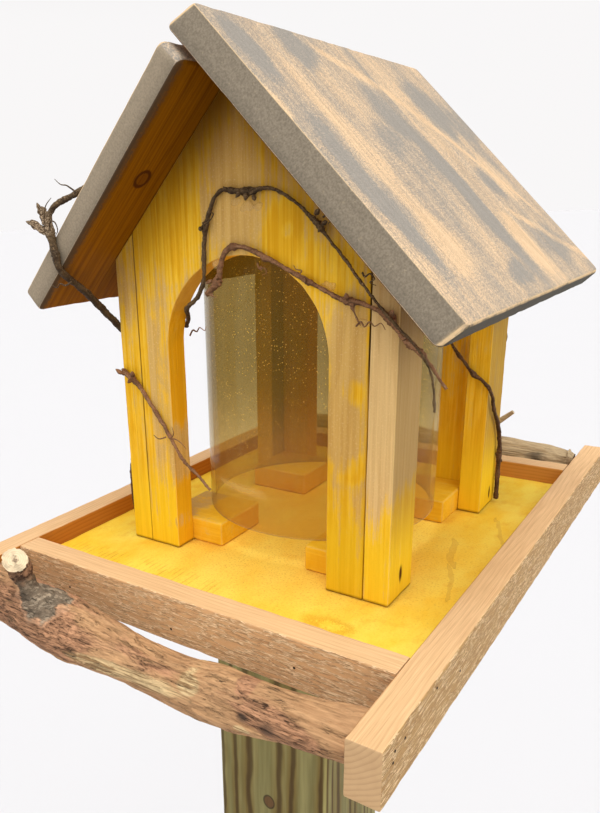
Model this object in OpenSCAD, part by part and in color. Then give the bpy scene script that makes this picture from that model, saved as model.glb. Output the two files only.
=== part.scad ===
// Bird feeder on a post: a gabled house with arched ends stands on a railed tray.
// An open glass tube on four seat blocks holds the seed, and branches serve as perches.
// The origin is the middle of the post's foot at ground level, +Z up, the front towards -Y.

/* [Post] */
// Side of the square post
post_w = 89; // [70:1:140]
// Height of the post above the ground
post_h = 910; // [500:10:1800]
// Radius of the post's eased edges
post_edge_r = 4; // [1:0.5:10]
// How far the post stands forward of the tray's middle
post_forward = 16; // [0:1:40]
// How far the post stands left of the tray's middle
post_left = 6; // [0:1:30]

/* [Tray] */
// Width of the floor beside the house
side_margin = 34; // [20:1:80]
// Length of the floor before and behind the house
end_margin = 54; // [40:1:120]
// Thickness of the floor board
floor_t = 16; // [10:0.5:25]
// Thickness of the rails
rail_t = 16; // [10:0.5:25]
// Height of the rails above the floor
rail_rise = 12; // [6:0.5:30]
// Length of the side rails past the front rail
front_horn = 50; // [42:1:80]
// Length of the side rails past the back rail
back_horn = 56; // [42:1:80]
// Radius of the rails' eased edges
rail_edge_r = 1; // [0.5:0.1:3]

/* [Perches] */
// Mean thickness of the front branch
front_perch_d = 29; // [18:1:36]
// Mean thickness of the back branch
back_perch_d = 26; // [18:1:36]
// Thickness of the cut stub on the front branch
stub_d = 13; // [8:0.5:18]
// Length of the cut stub from the middle of the rails
stub_l = 32; // [22:1:45]

/* [House] */
// Height of the corner posts at their outer edge
wall_h = 180; // [150:1:260]
// Thickness of the end walls
wall_t = 16; // [10:0.5:25]
// Width of the corner posts, seen from the front
corner_w = 15; // [10:0.5:20]
// Depth of the corner posts
corner_d = 32; // [20:1:40]
// Width of the arched openings
arch_w = 105; // [80:1:120]
// Drop of the arch's springing below the corner posts' outer edge
arch_drop = 50; // [38:1:90]

/* [Seed tube] */
// Outside diameter of the tube
tube_d = 150; // [125:1:190]
// Wall of the tube
tube_wall = 3; // [1.5:0.5:5]
// Gap between the tube and each end wall
tube_gap = 1; // [0.5:0.5:5]
// Gap between the tube's rim and the roof, beside the corner posts
tube_head_gap = 9.5; // [3:0.5:40]
// Side of the square seat blocks
block_w = 45; // [30:1:52]
// Thickness of the seat blocks
block_t = 16; // [8:0.5:18]

/* [Roof] */
// Slope of the roof in degrees
roof_slope = 46; // [42:0.5:50]
// Thickness of the roof boards
roof_t = 14; // [10:0.5:22]
// Overhang of the left board past the front wall
left_over = 42; // [20:1:60]
// Overhang of the right board past the front wall
right_over = 38; // [20:1:60]
// Overhang of both boards past the back wall
back_over = 50; // [20:1:70]
// Length of the left board below the wall's edge, along the slope
left_eave = 37; // [25:1:60]
// Length of the right board below the wall's edge, along the slope
right_eave = 46; // [25:1:60]
// Gap between the left board's end and the right board's underside
ridge_gap = 3; // [0.5:0.5:6]
// How far the right board stands past the left board's top face
ridge_proud = 4.5; // [0:0.5:12]
// Radius of the roof boards' worn edges
roof_edge_r = 2.5; // [1:0.5:4.5]
// Radius of the roof boards' worn corners
roof_corner_r = 5; // [1:0.5:15]

/* [Vines] */
// Thickness of the vine stems
vine_d = 4.5; // [3:0.1:6]
// Thickness of the twigs on the left corner post
twig_d = 3.5; // [2.5:0.1:5]

/* [Hidden] */
$fn = 96;

// Gap that keeps a stem just off the face that it lies on
vine_seat = 0.2;
// Overrun of every cut past the faces that it opens
cut = 1;
// Sides and steps of the swept branches and stems
branch_sides = 18;
branch_rings = 28;
stem_sides = 8;
stem_steps = 3;

// The house is built round the tube: its posts line up with the tube's sides
half_w = tube_d / 2 + corner_w;
half_d = tube_d / 2 + tube_gap + wall_t;
shoulder_h = wall_h + corner_w * tan(roof_slope);
peak_h = wall_h + half_w * tan(roof_slope);
arch_spring_h = wall_h - arch_drop;
tube_h = shoulder_h - block_t - tube_head_gap;

floor_w = 2 * (half_w + side_margin);
floor_l = 2 * (half_d + end_margin);
rail_h = floor_t + rail_rise;
deck_z = post_h + floor_t;

// Slope lengths are measured from the outer edge of the corner posts
peak_run = half_w / cos(roof_slope);
right_ridge_run = peak_run + roof_t / sin(2 * roof_slope) + ridge_proud;
left_ridge_run = peak_run - ridge_gap / sin(2 * roof_slope) - max(0, roof_t / tan(2 * roof_slope));

front_perch_y = -(floor_l / 2 + rail_t + front_horn / 2);
back_perch_y = floor_l / 2 + rail_t + back_horn / 2;
rail_mid_z = rail_rise - rail_h / 2;
vine_off = vine_seat + vine_d / 2;
twig_off = vine_seat + twig_d / 2;

// Branch stations: place along the span, then sideways and upward drift and radius in branch thicknesses
front_perch_shares = [
    [0.00, 0.04, -0.10, 0.50], [0.10, 0.00, -0.14, 0.57], [0.23, -0.05, -0.20, 0.60],
    [0.35, -0.04, -0.36, 0.53], [0.45, 0.00, -0.46, 0.50], [0.58, 0.04, -0.52, 0.48],
    [0.72, 0.02, -0.44, 0.51], [0.87, -0.02, -0.28, 0.46], [1.00, 0.00, -0.14, 0.44]
];
back_perch_shares = [
    [0.00, 0.00, 0.16, 0.48], [0.20, 0.06, 0.24, 0.50], [0.42, 0.02, 0.28, 0.52],
    [0.60, -0.06, 0.24, 0.49], [0.80, -0.02, 0.30, 0.50], [1.00, 0.02, 0.24, 0.46]
];
// Place of the stub along the front branch, and its lean to the front in degrees
stub_place_share = 0.16;
stub_lean = 19;
// Thickness of the stub at its cut end, in stub thicknesses
stub_tip_share = 0.9;
// Height of the lumps round a branch, in branch radii
lump_share = 0.05;
// Lumps round a branch, and degrees that each set of them turns from end to end
lump_counts = [3, 2];
lump_turns = [700, -1100];

// Stems round the arch: degrees round its head, in arch radii from its middle, out from the face
upper_vine_arch_shares = [
    [170.3, 1.060, -1.14], [160.0, 0.920, -0.68], [145.7, 0.809, 0.00], [131.8, 0.772, 0.10],
    [119.3, 0.876, 0.00], [113.8, 1.041, 0.00]
];
lower_vine_arch_shares = [
    [123.9, 0.722, 0.10], [112.7, 0.754, 0.10], [105.6, 0.829, 0.05], [101.2, 0.971, 0.00],
    [98.0, 1.045, 0.00], [93.6, 1.092, 0.00], [85.5, 1.085, 0.00], [75.9, 1.053, 0.00],
    [63.4, 1.035, 0.00], [50.2, 1.071, 0.00]
];
lower_stub_shares = [[122.0, 0.735, 0.10], [118.0, 0.680, 0.20], [113.0, 0.630, 0.30]];
// Stems on an end wall: across in half house widths, out from the face, up in wall heights
upper_vine_shares = [
    [-0.235, 0.00, 1.050], [-0.21, 0.00, 1.110], [-0.155, 0.00, 1.172], [-0.095, 0.00, 1.197],
    [0.00, 0.00, 1.192], [0.10, 0.00, 1.190], [0.21, 0.00, 1.196], [0.31, 0.00, 1.178],
    [0.42, 0.00, 1.145], [0.52, 0.00, 1.096], [0.60, 0.00, 1.055], [0.71, 0.20, 0.996],
    [0.84, 0.90, 0.930], [0.98, 1.30, 0.862], [1.09, 1.00, 0.806], [1.17, 0.60, 0.755],
    [1.21, 0.40, 0.700], [1.225, 0.30, 0.618]
];
lower_vine_shares = [
    [0.54, 0.00, 0.930], [0.67, 0.00, 0.902], [0.76, 0.00, 0.896], [0.86, 0.00, 0.880],
    [0.95, 0.00, 0.856], [1.02, 0.00, 0.812], [1.10, 0.00, 0.784], [1.18, 0.00, 0.744],
    [1.245, 0.00, 0.702], [1.28, 0.00, 0.682]
];
lower_shoot_shares = [[0.735, 0.00, 0.896], [0.755, 0.20, 0.868], [0.80, 0.40, 0.833]];
back_vine_shares = [
    [-0.36, 0.00, 1.000], [-0.30, 0.00, 1.060], [-0.26, 0.00, 1.120], [-0.16, 0.00, 1.180],
    [0.00, 0.00, 1.205], [0.16, 0.00, 1.190], [0.32, 0.00, 1.160], [0.48, 0.00, 1.095],
    [0.62, 0.00, 1.020], [0.76, 0.00, 0.930], [0.88, 0.00, 0.830], [0.95, 0.00, 0.730],
    [0.98, 0.00, 0.640], [0.95, 0.00, 0.560]
];
back_shoot_shares = [[0.46, 0.00, 1.103], [0.53, 0.20, 1.110], [0.59, 0.50, 1.125]];
leg_twig_shares = [
    [-0.975, 0.00, 0.628], [-0.85, 0.00, 0.588], [-0.74, 0.00, 0.520], [-0.645, 0.00, 0.458],
    [-0.56, 0.00, 0.396], [-0.475, 0.10, 0.340], [-0.36, 0.20, 0.300], [-0.26, 0.20, 0.258]
];
// Thickness along a stem, from its root to its tip, and of a shoot where it leaves its stem
stem_taper_shares = [1.00, 0.62];
shoot_share = 0.65;

// Roof vine, first along the post: back from the front face in corner depths, up in wall heights
roof_vine_post_shares = [[0.40, 0.740], [0.20, 0.760], [0.05, 0.780]];
// Then out under the overhang: forward in left overhangs, up in wall heights
roof_vine_fore_shares = [[0.25, 0.842], [0.55, 0.905], [0.84, 0.955]];
// Then over the board's front end: down the slope in left eaves, off the underside in roof thicknesses
roof_vine_end_shares = [[0.04, 0.00], [-0.06, 0.36], [-0.17, 0.84], [-0.27, 1.14]];
// Last onto the board's top: down the slope in left eaves, back in left overhangs, in stems off the top
roof_vine_top_shares = [
    [-0.44, 0.00, 1.20], [-0.66, 0.02, 1.10], [-0.90, 0.12, 0.35], [-1.14, 0.30, 0.00]
];
// Cut shoots at its fork: down the slope in left eaves, off the underside in roof thicknesses
roof_shoots_shares = [
    [[-0.24, 1.06], [-0.16, 1.60], [-0.11, 2.06]],
    [[-0.27, 1.14], [-0.33, 1.60], [-0.40, 2.00]]
];

// Twig on the outside of the left post: back from the front face in corner depths, up in wall heights
side_twig_shares = [[0.20, 0.350], [0.10, 0.260], [0.08, 0.170], [0.16, 0.035]];
// Vine on the back right post: forward from the back face in corner depths, up in wall heights
post_vine_side_shares = [[0.08, 0.012], [0.12, 0.150], [0.16, 0.240], [0.42, 0.335], [0.80, 0.405]];
// Then round the post's edge: out past both faces in stem offsets, up in wall heights
post_vine_edge_shares = [0.85, 0.480];
// Then across the post's inner face: inward in corner widths, up in wall heights
post_vine_face_shares = [[0.25, 0.520], [0.65, 0.540], [1.05, 0.578], [1.60, 0.633]];
// Then towards the wall: inward in corner widths, back in corner depths, up in wall heights
post_vine_end_shares = [[2.25, 0.20, 0.695], [2.70, 0.38, 0.740]];

// Curves and sweeps

// Point on the smooth curve through p that lies share t of the way from point i to the next
function smooth_at(p, i, t) =
    let (
        a = p[max(i - 1, 0)],
        b = p[i],
        c = p[min(i + 1, len(p) - 1)],
        d = p[min(i + 2, len(p) - 1)]
    )
    (2 * b + (c - a) * t + (2 * a - 5 * b + 4 * c - d) * t * t + (3 * b - a - 3 * c + d) * t * t * t) / 2;

// Smooth curve through p with a number of steps between neighbours
function smooth(p, steps) = [
    for (i = [0 : len(p) - 2], k = [0 : steps - 1]) smooth_at(p, i, k / steps),
    p[len(p) - 1]
];

function unit(v) = v / norm(v);

function tangent(p, i) = unit(p[min(i + 1, len(p) - 1)] - p[max(i - 1, 0)]);

// The part of n that is square to t
function square_to(n, t) = unit(n - (n * t) * t);

// Sideways directions carried along p without twist
function sideways(p) =
    let (first = tangent(p, 0), guide = abs(first.z) < abs(first.x) ? [0, 0, 1] : [1, 0, 0])
    [
        for (
            i = 0, n = square_to(guide, first);
            i < len(p);
            i = i + 1, n = i < len(p) ? square_to(n, tangent(p, i)) : n
        ) n
    ];

// Ring of points round c, square to t, with n as its first direction
function ring(c, t, n, r) = [
    for (k = [0 : stem_sides - 1])
        let (a = k * 360 / stem_sides)
        c + r * (cos(a) * n + sin(a) * cross(t, n))
];

// Faces that join rings of points and close both ends
function ring_faces(rings, sides) = concat(
    [[for (k = [0 : sides - 1]) k]],
    [
        for (i = [0 : rings - 2], k = [0 : sides - 1])
            let (a = i * sides, b = (k + 1) % sides)
            [a + k, a + sides + k, a + sides + b, a + b]
    ],
    [[for (k = [sides - 1 : -1 : 0]) (rings - 1) * sides + k]]
);

// Round stem of thickness d that tapers along a smooth route
module stem(route, d) {
    p = smooth(route, stem_steps);
    n = sideways(p);
    last = len(p) - 1;
    points = [
        for (i = [0 : last])
            let (
                taper = stem_taper_shares[1] - stem_taper_shares[0],
                width = d * (stem_taper_shares[0] + taper * i / last)
            )
            each ring(p[i], tangent(p, i), n[i], width / 2)
    ];
    polyhedron(points, ring_faces(len(p), stem_sides));
}

// Natural branch of mean thickness d across the tray, its ends cut to the rails
module branch(shares, d, y) {
    span = floor_w;
    curve = smooth(shares, ceil(branch_rings / (len(shares) - 1)));
    points = [
        for (s = curve, k = [0 : branch_sides - 1])
            let (
                a = k * 360 / branch_sides,
                waves = [for (i = [0, 1]) sin(lump_counts[i] * a + lump_turns[i] * s[0])],
                r = d * s[3] * (1 + lump_share * (waves[0] + waves[1]))
            )
            [span * (s[0] - 1 / 2), y + d * s[1] + r * cos(a), rail_mid_z + d * s[2] + r * sin(a)]
    ];
    polyhedron(points, ring_faces(len(curve), branch_sides));
}

// Shared shapes

// Rectangle with round corners, its lower left corner at the origin
module eased_rect(size, r) {
    translate([r, 0]) square([size.x - 2 * r, size.y]);
    translate([0, r]) square([size.x, size.y - 2 * r]);
    for (x = [r, size.x - r], y = [r, size.y - r]) translate([x, y]) circle(r);
}

// Straight bar along +Y with eased long edges
module bar(size, r) {
    translate([0, size.y, 0]) rotate([90, 0, 0]) linear_extrude(size.y) eased_rect([size.x, size.z], r);
}

// Places what stands on the tray floor
module on_tray() {
    translate([post_left, post_forward, deck_z]) children();
}

// Turns a front piece round to the back
module at_back() {
    mirror([0, 1, 0]) children();
}

// Turns a right piece round to the left
module at_left() {
    mirror([1, 0, 0]) children();
}

// Post and tray

module mounting_post() {
    color("darkkhaki")
        translate([-post_w / 2, -post_w / 2, 0])
            linear_extrude(post_h) eased_rect([post_w, post_w], post_edge_r);
}

module tray_floor() {
    color("gold") on_tray()
        translate([-floor_w / 2, -floor_l / 2, -floor_t]) cube([floor_w, floor_l, floor_t]);
}

// Rail between the side rails
module cross_rail() {
    translate([-floor_w / 2, -floor_l / 2, -floor_t])
        rotate([0, 0, -90]) bar([rail_t, floor_w, rail_h], rail_edge_r);
}

// Rail along the tray's side, with a horn at both ends
module side_rail() {
    length = floor_l + 2 * rail_t + front_horn + back_horn;
    translate([floor_w / 2, -floor_l / 2 - rail_t - front_horn, -floor_t])
        bar([rail_t, length, rail_h], rail_edge_r);
}

module front_rail() {
    color("burlywood") on_tray() cross_rail();
}

module back_rail() {
    color("burlywood") on_tray() at_back() cross_rail();
}

module left_rail() {
    color("burlywood") on_tray() at_left() side_rail();
}

module right_rail() {
    color("burlywood") on_tray() side_rail();
}

// Perches

module front_perch() {
    color("peru") on_tray() {
        branch(front_perch_shares, front_perch_d, front_perch_y);
        translate([floor_w * (stub_place_share - 1 / 2), front_perch_y, rail_mid_z])
            rotate([stub_lean, 0, 0]) cylinder(h = stub_l, d1 = stub_d, d2 = stub_d * stub_tip_share);
    }
}

module back_perch() {
    color("peru") on_tray() branch(back_perch_shares, back_perch_d, back_perch_y);
}

// House

// Gabled board between the corner posts with a round-headed opening
module end_wall() {
    inner = half_w - corner_w;
    translate([0, wall_t - half_d, 0]) rotate([90, 0, 0]) linear_extrude(wall_t) difference() {
        polygon([[-inner, 0], [inner, 0], [inner, shoulder_h], [0, peak_h], [-inner, shoulder_h]]);
        translate([-arch_w / 2, -cut]) square([arch_w, arch_spring_h + cut]);
        translate([0, arch_spring_h]) circle(arch_w / 2);
    }
}

// Corner post, its top cut to the roof's slope
module corner_post() {
    inner = half_w - corner_w;
    translate([0, corner_d - half_d, 0]) rotate([90, 0, 0]) linear_extrude(corner_d)
        polygon([[inner, 0], [half_w, 0], [half_w, wall_h], [inner, shoulder_h]]);
}

// Seat for the tube, in the corner of a wall and a post
module seat_block() {
    translate([half_w - corner_w - block_w, wall_t - half_d, 0]) cube([block_w, block_w, block_t]);
}

module front_wall() {
    color("goldenrod") on_tray() end_wall();
}

module back_wall() {
    color("goldenrod") on_tray() at_back() end_wall();
}

module front_left_post() {
    color("goldenrod") on_tray() at_left() corner_post();
}

module front_right_post() {
    color("goldenrod") on_tray() corner_post();
}

module back_left_post() {
    color("goldenrod") on_tray() at_left() at_back() corner_post();
}

module back_right_post() {
    color("goldenrod") on_tray() at_back() corner_post();
}

module front_left_block() {
    color("gold") on_tray() at_left() seat_block();
}

module front_right_block() {
    color("gold") on_tray() seat_block();
}

module back_left_block() {
    color("gold") on_tray() at_left() at_back() seat_block();
}

module back_right_block() {
    color("gold") on_tray() at_back() seat_block();
}

module seed_tube() {
    color("azure", 0.3) on_tray() translate([0, 0, block_t]) difference() {
        cylinder(h = tube_h, d = tube_d);
        translate([0, 0, -cut]) cylinder(h = tube_h + 2 * cut, d = tube_d - 2 * tube_wall);
    }
}

// Roof

// Board on the right slope from its ridge end down to its eave
module roof_board(ridge_run, eave_run, front_over) {
    size = [ridge_run + eave_run, 2 * half_d + front_over + back_over, roof_t];
    translate([half_w, 0, wall_h]) rotate([0, roof_slope, 0])
        translate([-ridge_run, -half_d - front_over, 0]) intersection() {
            bar(size, roof_edge_r);
            linear_extrude(roof_t) eased_rect([size.x, size.y], roof_corner_r);
        }
}

module left_roof_board() {
    color("darkgrey") on_tray() at_left() roof_board(left_ridge_run, left_eave, left_over);
}

module right_roof_board() {
    color("darkgrey") on_tray() roof_board(right_ridge_run, right_eave, right_over);
}

// Vines

// Depth of a stem of thickness d: out in stem thicknesses from where it rests on the front face.
// From 0 down to -1 it goes through the opening to where it rests on the wall's inner face.
function face_y(out, d) =
    -half_d - vine_seat - d / 2 - (out < 0 ? out * (wall_t + d + 2 * vine_seat) : out * d);

function face_route(shares, d) = [for (s = shares) [half_w * s[0], face_y(s[1], d), wall_h * s[2]]];

function arch_route(shares, d) = [
    for (s = shares)
        let (r = s[1] * arch_w / 2)
        [r * cos(s[0]), face_y(s[2], d), arch_spring_h + r * sin(s[0])]
];

// Point of the left slope: u down the slope, y, and n off the underside
function left_slope(u, y, n) = [
    -half_w - u * cos(roof_slope) - n * sin(roof_slope),
    y,
    wall_h - u * sin(roof_slope) + n * cos(roof_slope)
];

function roof_vine_route(end) =
    let (side = -half_w - vine_off)
    concat(
        [for (s = roof_vine_post_shares) [side, corner_d * s[0] - half_d, wall_h * s[1]]],
        [for (s = roof_vine_fore_shares) [side, -left_over * s[0] - half_d, wall_h * s[1]]],
        [for (s = roof_vine_end_shares) left_slope(left_eave * s[0], end, roof_t * s[1])],
        [
            for (s = roof_vine_top_shares)
                left_slope(left_eave * s[0], end + left_over * s[1], roof_t + vine_off + vine_d * s[2])
        ]
    );

function post_vine_route() =
    let (
        side = half_w + vine_off,
        face = half_d - corner_d - vine_off,
        round_edge = vine_off * post_vine_edge_shares[0]
    )
    concat(
        [for (s = post_vine_side_shares) [side, half_d - corner_d * s[0], wall_h * s[1]]],
        [[half_w + round_edge, half_d - corner_d - round_edge, wall_h * post_vine_edge_shares[1]]],
        [for (s = post_vine_face_shares) [half_w - corner_w * s[0], face, wall_h * s[1]]],
        [for (s = post_vine_end_shares) [half_w - corner_w * s[0], face + corner_d * s[1], wall_h * s[2]]]
    );

module upper_vine() {
    arch = arch_route(upper_vine_arch_shares, vine_d);
    color("saddlebrown") on_tray() stem(concat(arch, face_route(upper_vine_shares, vine_d)), vine_d);
}

module lower_vine() {
    arch = arch_route(lower_vine_arch_shares, vine_d);
    color("sienna") on_tray() {
        stem(concat(arch, face_route(lower_vine_shares, vine_d)), vine_d);
        stem(arch_route(lower_stub_shares, vine_d), vine_d * shoot_share);
        stem(face_route(lower_shoot_shares, vine_d), vine_d * shoot_share);
    }
}

module roof_vine() {
    end = -half_d - left_over - vine_off;
    color("saddlebrown") on_tray() {
        stem(roof_vine_route(end), vine_d);
        for (shoot = roof_shoots_shares)
            stem([for (s = shoot) left_slope(left_eave * s[0], end, roof_t * s[1])], vine_d * shoot_share);
    }
}

module leg_twig() {
    color("saddlebrown") on_tray() stem(face_route(leg_twig_shares, twig_d), twig_d);
}

module side_twig() {
    side = -half_w - twig_off;
    color("saddlebrown") on_tray()
        stem([for (s = side_twig_shares) [side, corner_d * s[0] - half_d, wall_h * s[1]]], twig_d);
}

module post_vine() {
    color("sienna") on_tray() stem(post_vine_route(), vine_d);
}

module back_vine() {
    color("saddlebrown") on_tray() at_back() {
        stem(face_route(back_vine_shares, vine_d), vine_d);
        stem(face_route(back_shoot_shares, vine_d), vine_d * shoot_share);
    }
}

mounting_post();
tray_floor();
front_rail();
back_rail();
left_rail();
right_rail();
front_perch();
back_perch();
front_wall();
back_wall();
front_left_post();
front_right_post();
back_left_post();
back_right_post();
front_left_block();
front_right_block();
back_left_block();
back_right_block();
seed_tube();
left_roof_board();
right_roof_board();
upper_vine();
lower_vine();
roof_vine();
leg_twig();
side_twig();
post_vine();
back_vine();
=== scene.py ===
"""Looks of the bird feeder on a post: worn boards, bark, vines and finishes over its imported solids."""
import logging
import math
from dataclasses import dataclass
from enum import Enum
from typing import Callable, Iterable, Sequence, Union

import bmesh
import bpy
from mathutils import Matrix, Vector, kdtree, noise

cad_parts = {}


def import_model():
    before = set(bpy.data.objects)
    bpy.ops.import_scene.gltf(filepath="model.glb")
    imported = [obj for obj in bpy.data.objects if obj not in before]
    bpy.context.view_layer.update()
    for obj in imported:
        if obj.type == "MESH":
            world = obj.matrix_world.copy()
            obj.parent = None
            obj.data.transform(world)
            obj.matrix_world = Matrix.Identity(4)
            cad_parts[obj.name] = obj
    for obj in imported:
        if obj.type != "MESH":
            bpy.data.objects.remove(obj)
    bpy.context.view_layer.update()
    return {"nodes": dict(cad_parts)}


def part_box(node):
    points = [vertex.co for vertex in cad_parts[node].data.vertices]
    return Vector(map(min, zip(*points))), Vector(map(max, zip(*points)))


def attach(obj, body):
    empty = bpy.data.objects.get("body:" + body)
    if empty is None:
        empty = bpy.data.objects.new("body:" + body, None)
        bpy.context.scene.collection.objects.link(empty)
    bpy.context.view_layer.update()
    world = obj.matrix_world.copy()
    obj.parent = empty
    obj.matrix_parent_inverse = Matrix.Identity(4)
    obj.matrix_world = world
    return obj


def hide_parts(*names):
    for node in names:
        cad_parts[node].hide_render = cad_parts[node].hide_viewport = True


LOG = logging.getLogger("feeder")
MM = 0.001
BODY = "root"
TRAY = Vector((6.0, 16.0, 926.0))
UP = Vector((0.0, 0.0, 1.0))
RIGHT = Vector((1.0, 0.0, 0.0))
BACK = Vector((0.0, 1.0, 0.0))
ROOF_SLOPE = math.radians(46.0)
# Height of the ridge and place of the joint between wall and post, in millimetres from the floor's middle.
RIDGE = 273.0
SEAM = 75.0
# Distances in metres under which points are one point, when merging and when cutting.
MERGE = 1e-6
CUT = 1e-7

Colour = tuple[float, float, float, float]
Pair = tuple[Colour, Colour]
Zone = tuple[float, float, float, float, float]
Sweep = tuple[float, float, float, float, float]
Spot = tuple[float, float, float]
Feed = Union["Value", float, tuple, Vector]


def tint(red: float, green: float, blue: float) -> Colour:
    """Linear colour from a screen colour.

    Args:
        red: Red from 0 to 255.
        green: Green from 0 to 255.
        blue: Blue from 0 to 255.

    Returns:
        The linear colour with full alpha.
    """
    shares = [channel / 255.0 for channel in (red, green, blue)]
    linear = [s / 12.92 if s <= 0.04045 else ((s + 0.055) / 1.055) ** 2.4 for s in shares]
    return (linear[0], linear[1], linear[2], 1.0)


def on_tray(x: float, y: float, z: float) -> Vector:
    """Place in metres of a point in millimetres from the middle of the tray floor's top."""
    return (TRAY + Vector((x, y, z))) * MM


def put(name: str, data: bpy.types.ID) -> bpy.types.Object:
    """Puts a new object in the scene.

    Args:
        name: Name of the object.
        data: Its mesh, camera or light.

    Returns:
        The object.
    """
    made = bpy.data.objects.new(name, data)
    bpy.context.scene.collection.objects.link(made)
    return made


class Value:
    """A shader socket. Arithmetic on it adds Math nodes."""

    def __init__(self, graph: "Graph", socket: bpy.types.NodeSocket) -> None:
        """Keeps the socket and the graph that it belongs to."""
        self.graph = graph
        self.socket = socket

    def math(self, operation: str, *parts: Feed) -> "Value":
        """Adds one Math node on parts."""
        return self.graph.node("Math", {"operation": operation}, dict(enumerate(parts)))

    def __add__(self, other: Feed) -> "Value":
        """Sum."""
        return self.math("ADD", self, other)

    def __radd__(self, other: Feed) -> "Value":
        """Sum with a number first."""
        return self.math("ADD", other, self)

    def __sub__(self, other: Feed) -> "Value":
        """Difference."""
        return self.math("SUBTRACT", self, other)

    def __rsub__(self, other: Feed) -> "Value":
        """Difference from a number."""
        return self.math("SUBTRACT", other, self)

    def __mul__(self, other: Feed) -> "Value":
        """Product."""
        return self.math("MULTIPLY", self, other)

    def __truediv__(self, other: Feed) -> "Value":
        """Quotient."""
        return self.math("DIVIDE", self, other)

    def __pow__(self, other: Feed) -> "Value":
        """Power."""
        return self.math("POWER", self, other)

    def fract(self) -> "Value":
        """Part after the decimal point."""
        return self.math("FRACT", self)

    def abs(self) -> "Value":
        """Size without its sign."""
        return self.math("ABSOLUTE", self)

    def most(self, other: Feed) -> "Value":
        """Larger of the two."""
        return self.math("MAXIMUM", self, other)

    def least(self, other: Feed) -> "Value":
        """Smaller of the two."""
        return self.math("MINIMUM", self, other)

    def step(self, low: float, high: float) -> "Value":
        """Smooth step from 0 at low to 1 at high."""
        inputs = {"Value": self, "From Min": low, "From Max": high, "To Min": 0.0, "To Max": 1.0}
        return self.graph.node("MapRange", {"interpolation_type": "SMOOTHSTEP"}, inputs)

    def fade(self, low: float, high: float) -> "Value":
        """Smooth step from 1 at low to 0 at high."""
        return 1.0 - self.step(low, high)

    def band(self, middle: float, low: float, high: float) -> "Value":
        """1 at a middle value, fading between two distances from it."""
        return (self - middle).abs().fade(low, high)

    def sway(self, size: float) -> "Value":
        """A value from 0 to 1 as a swing of that size about zero."""
        return (self - 0.5) * size


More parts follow.
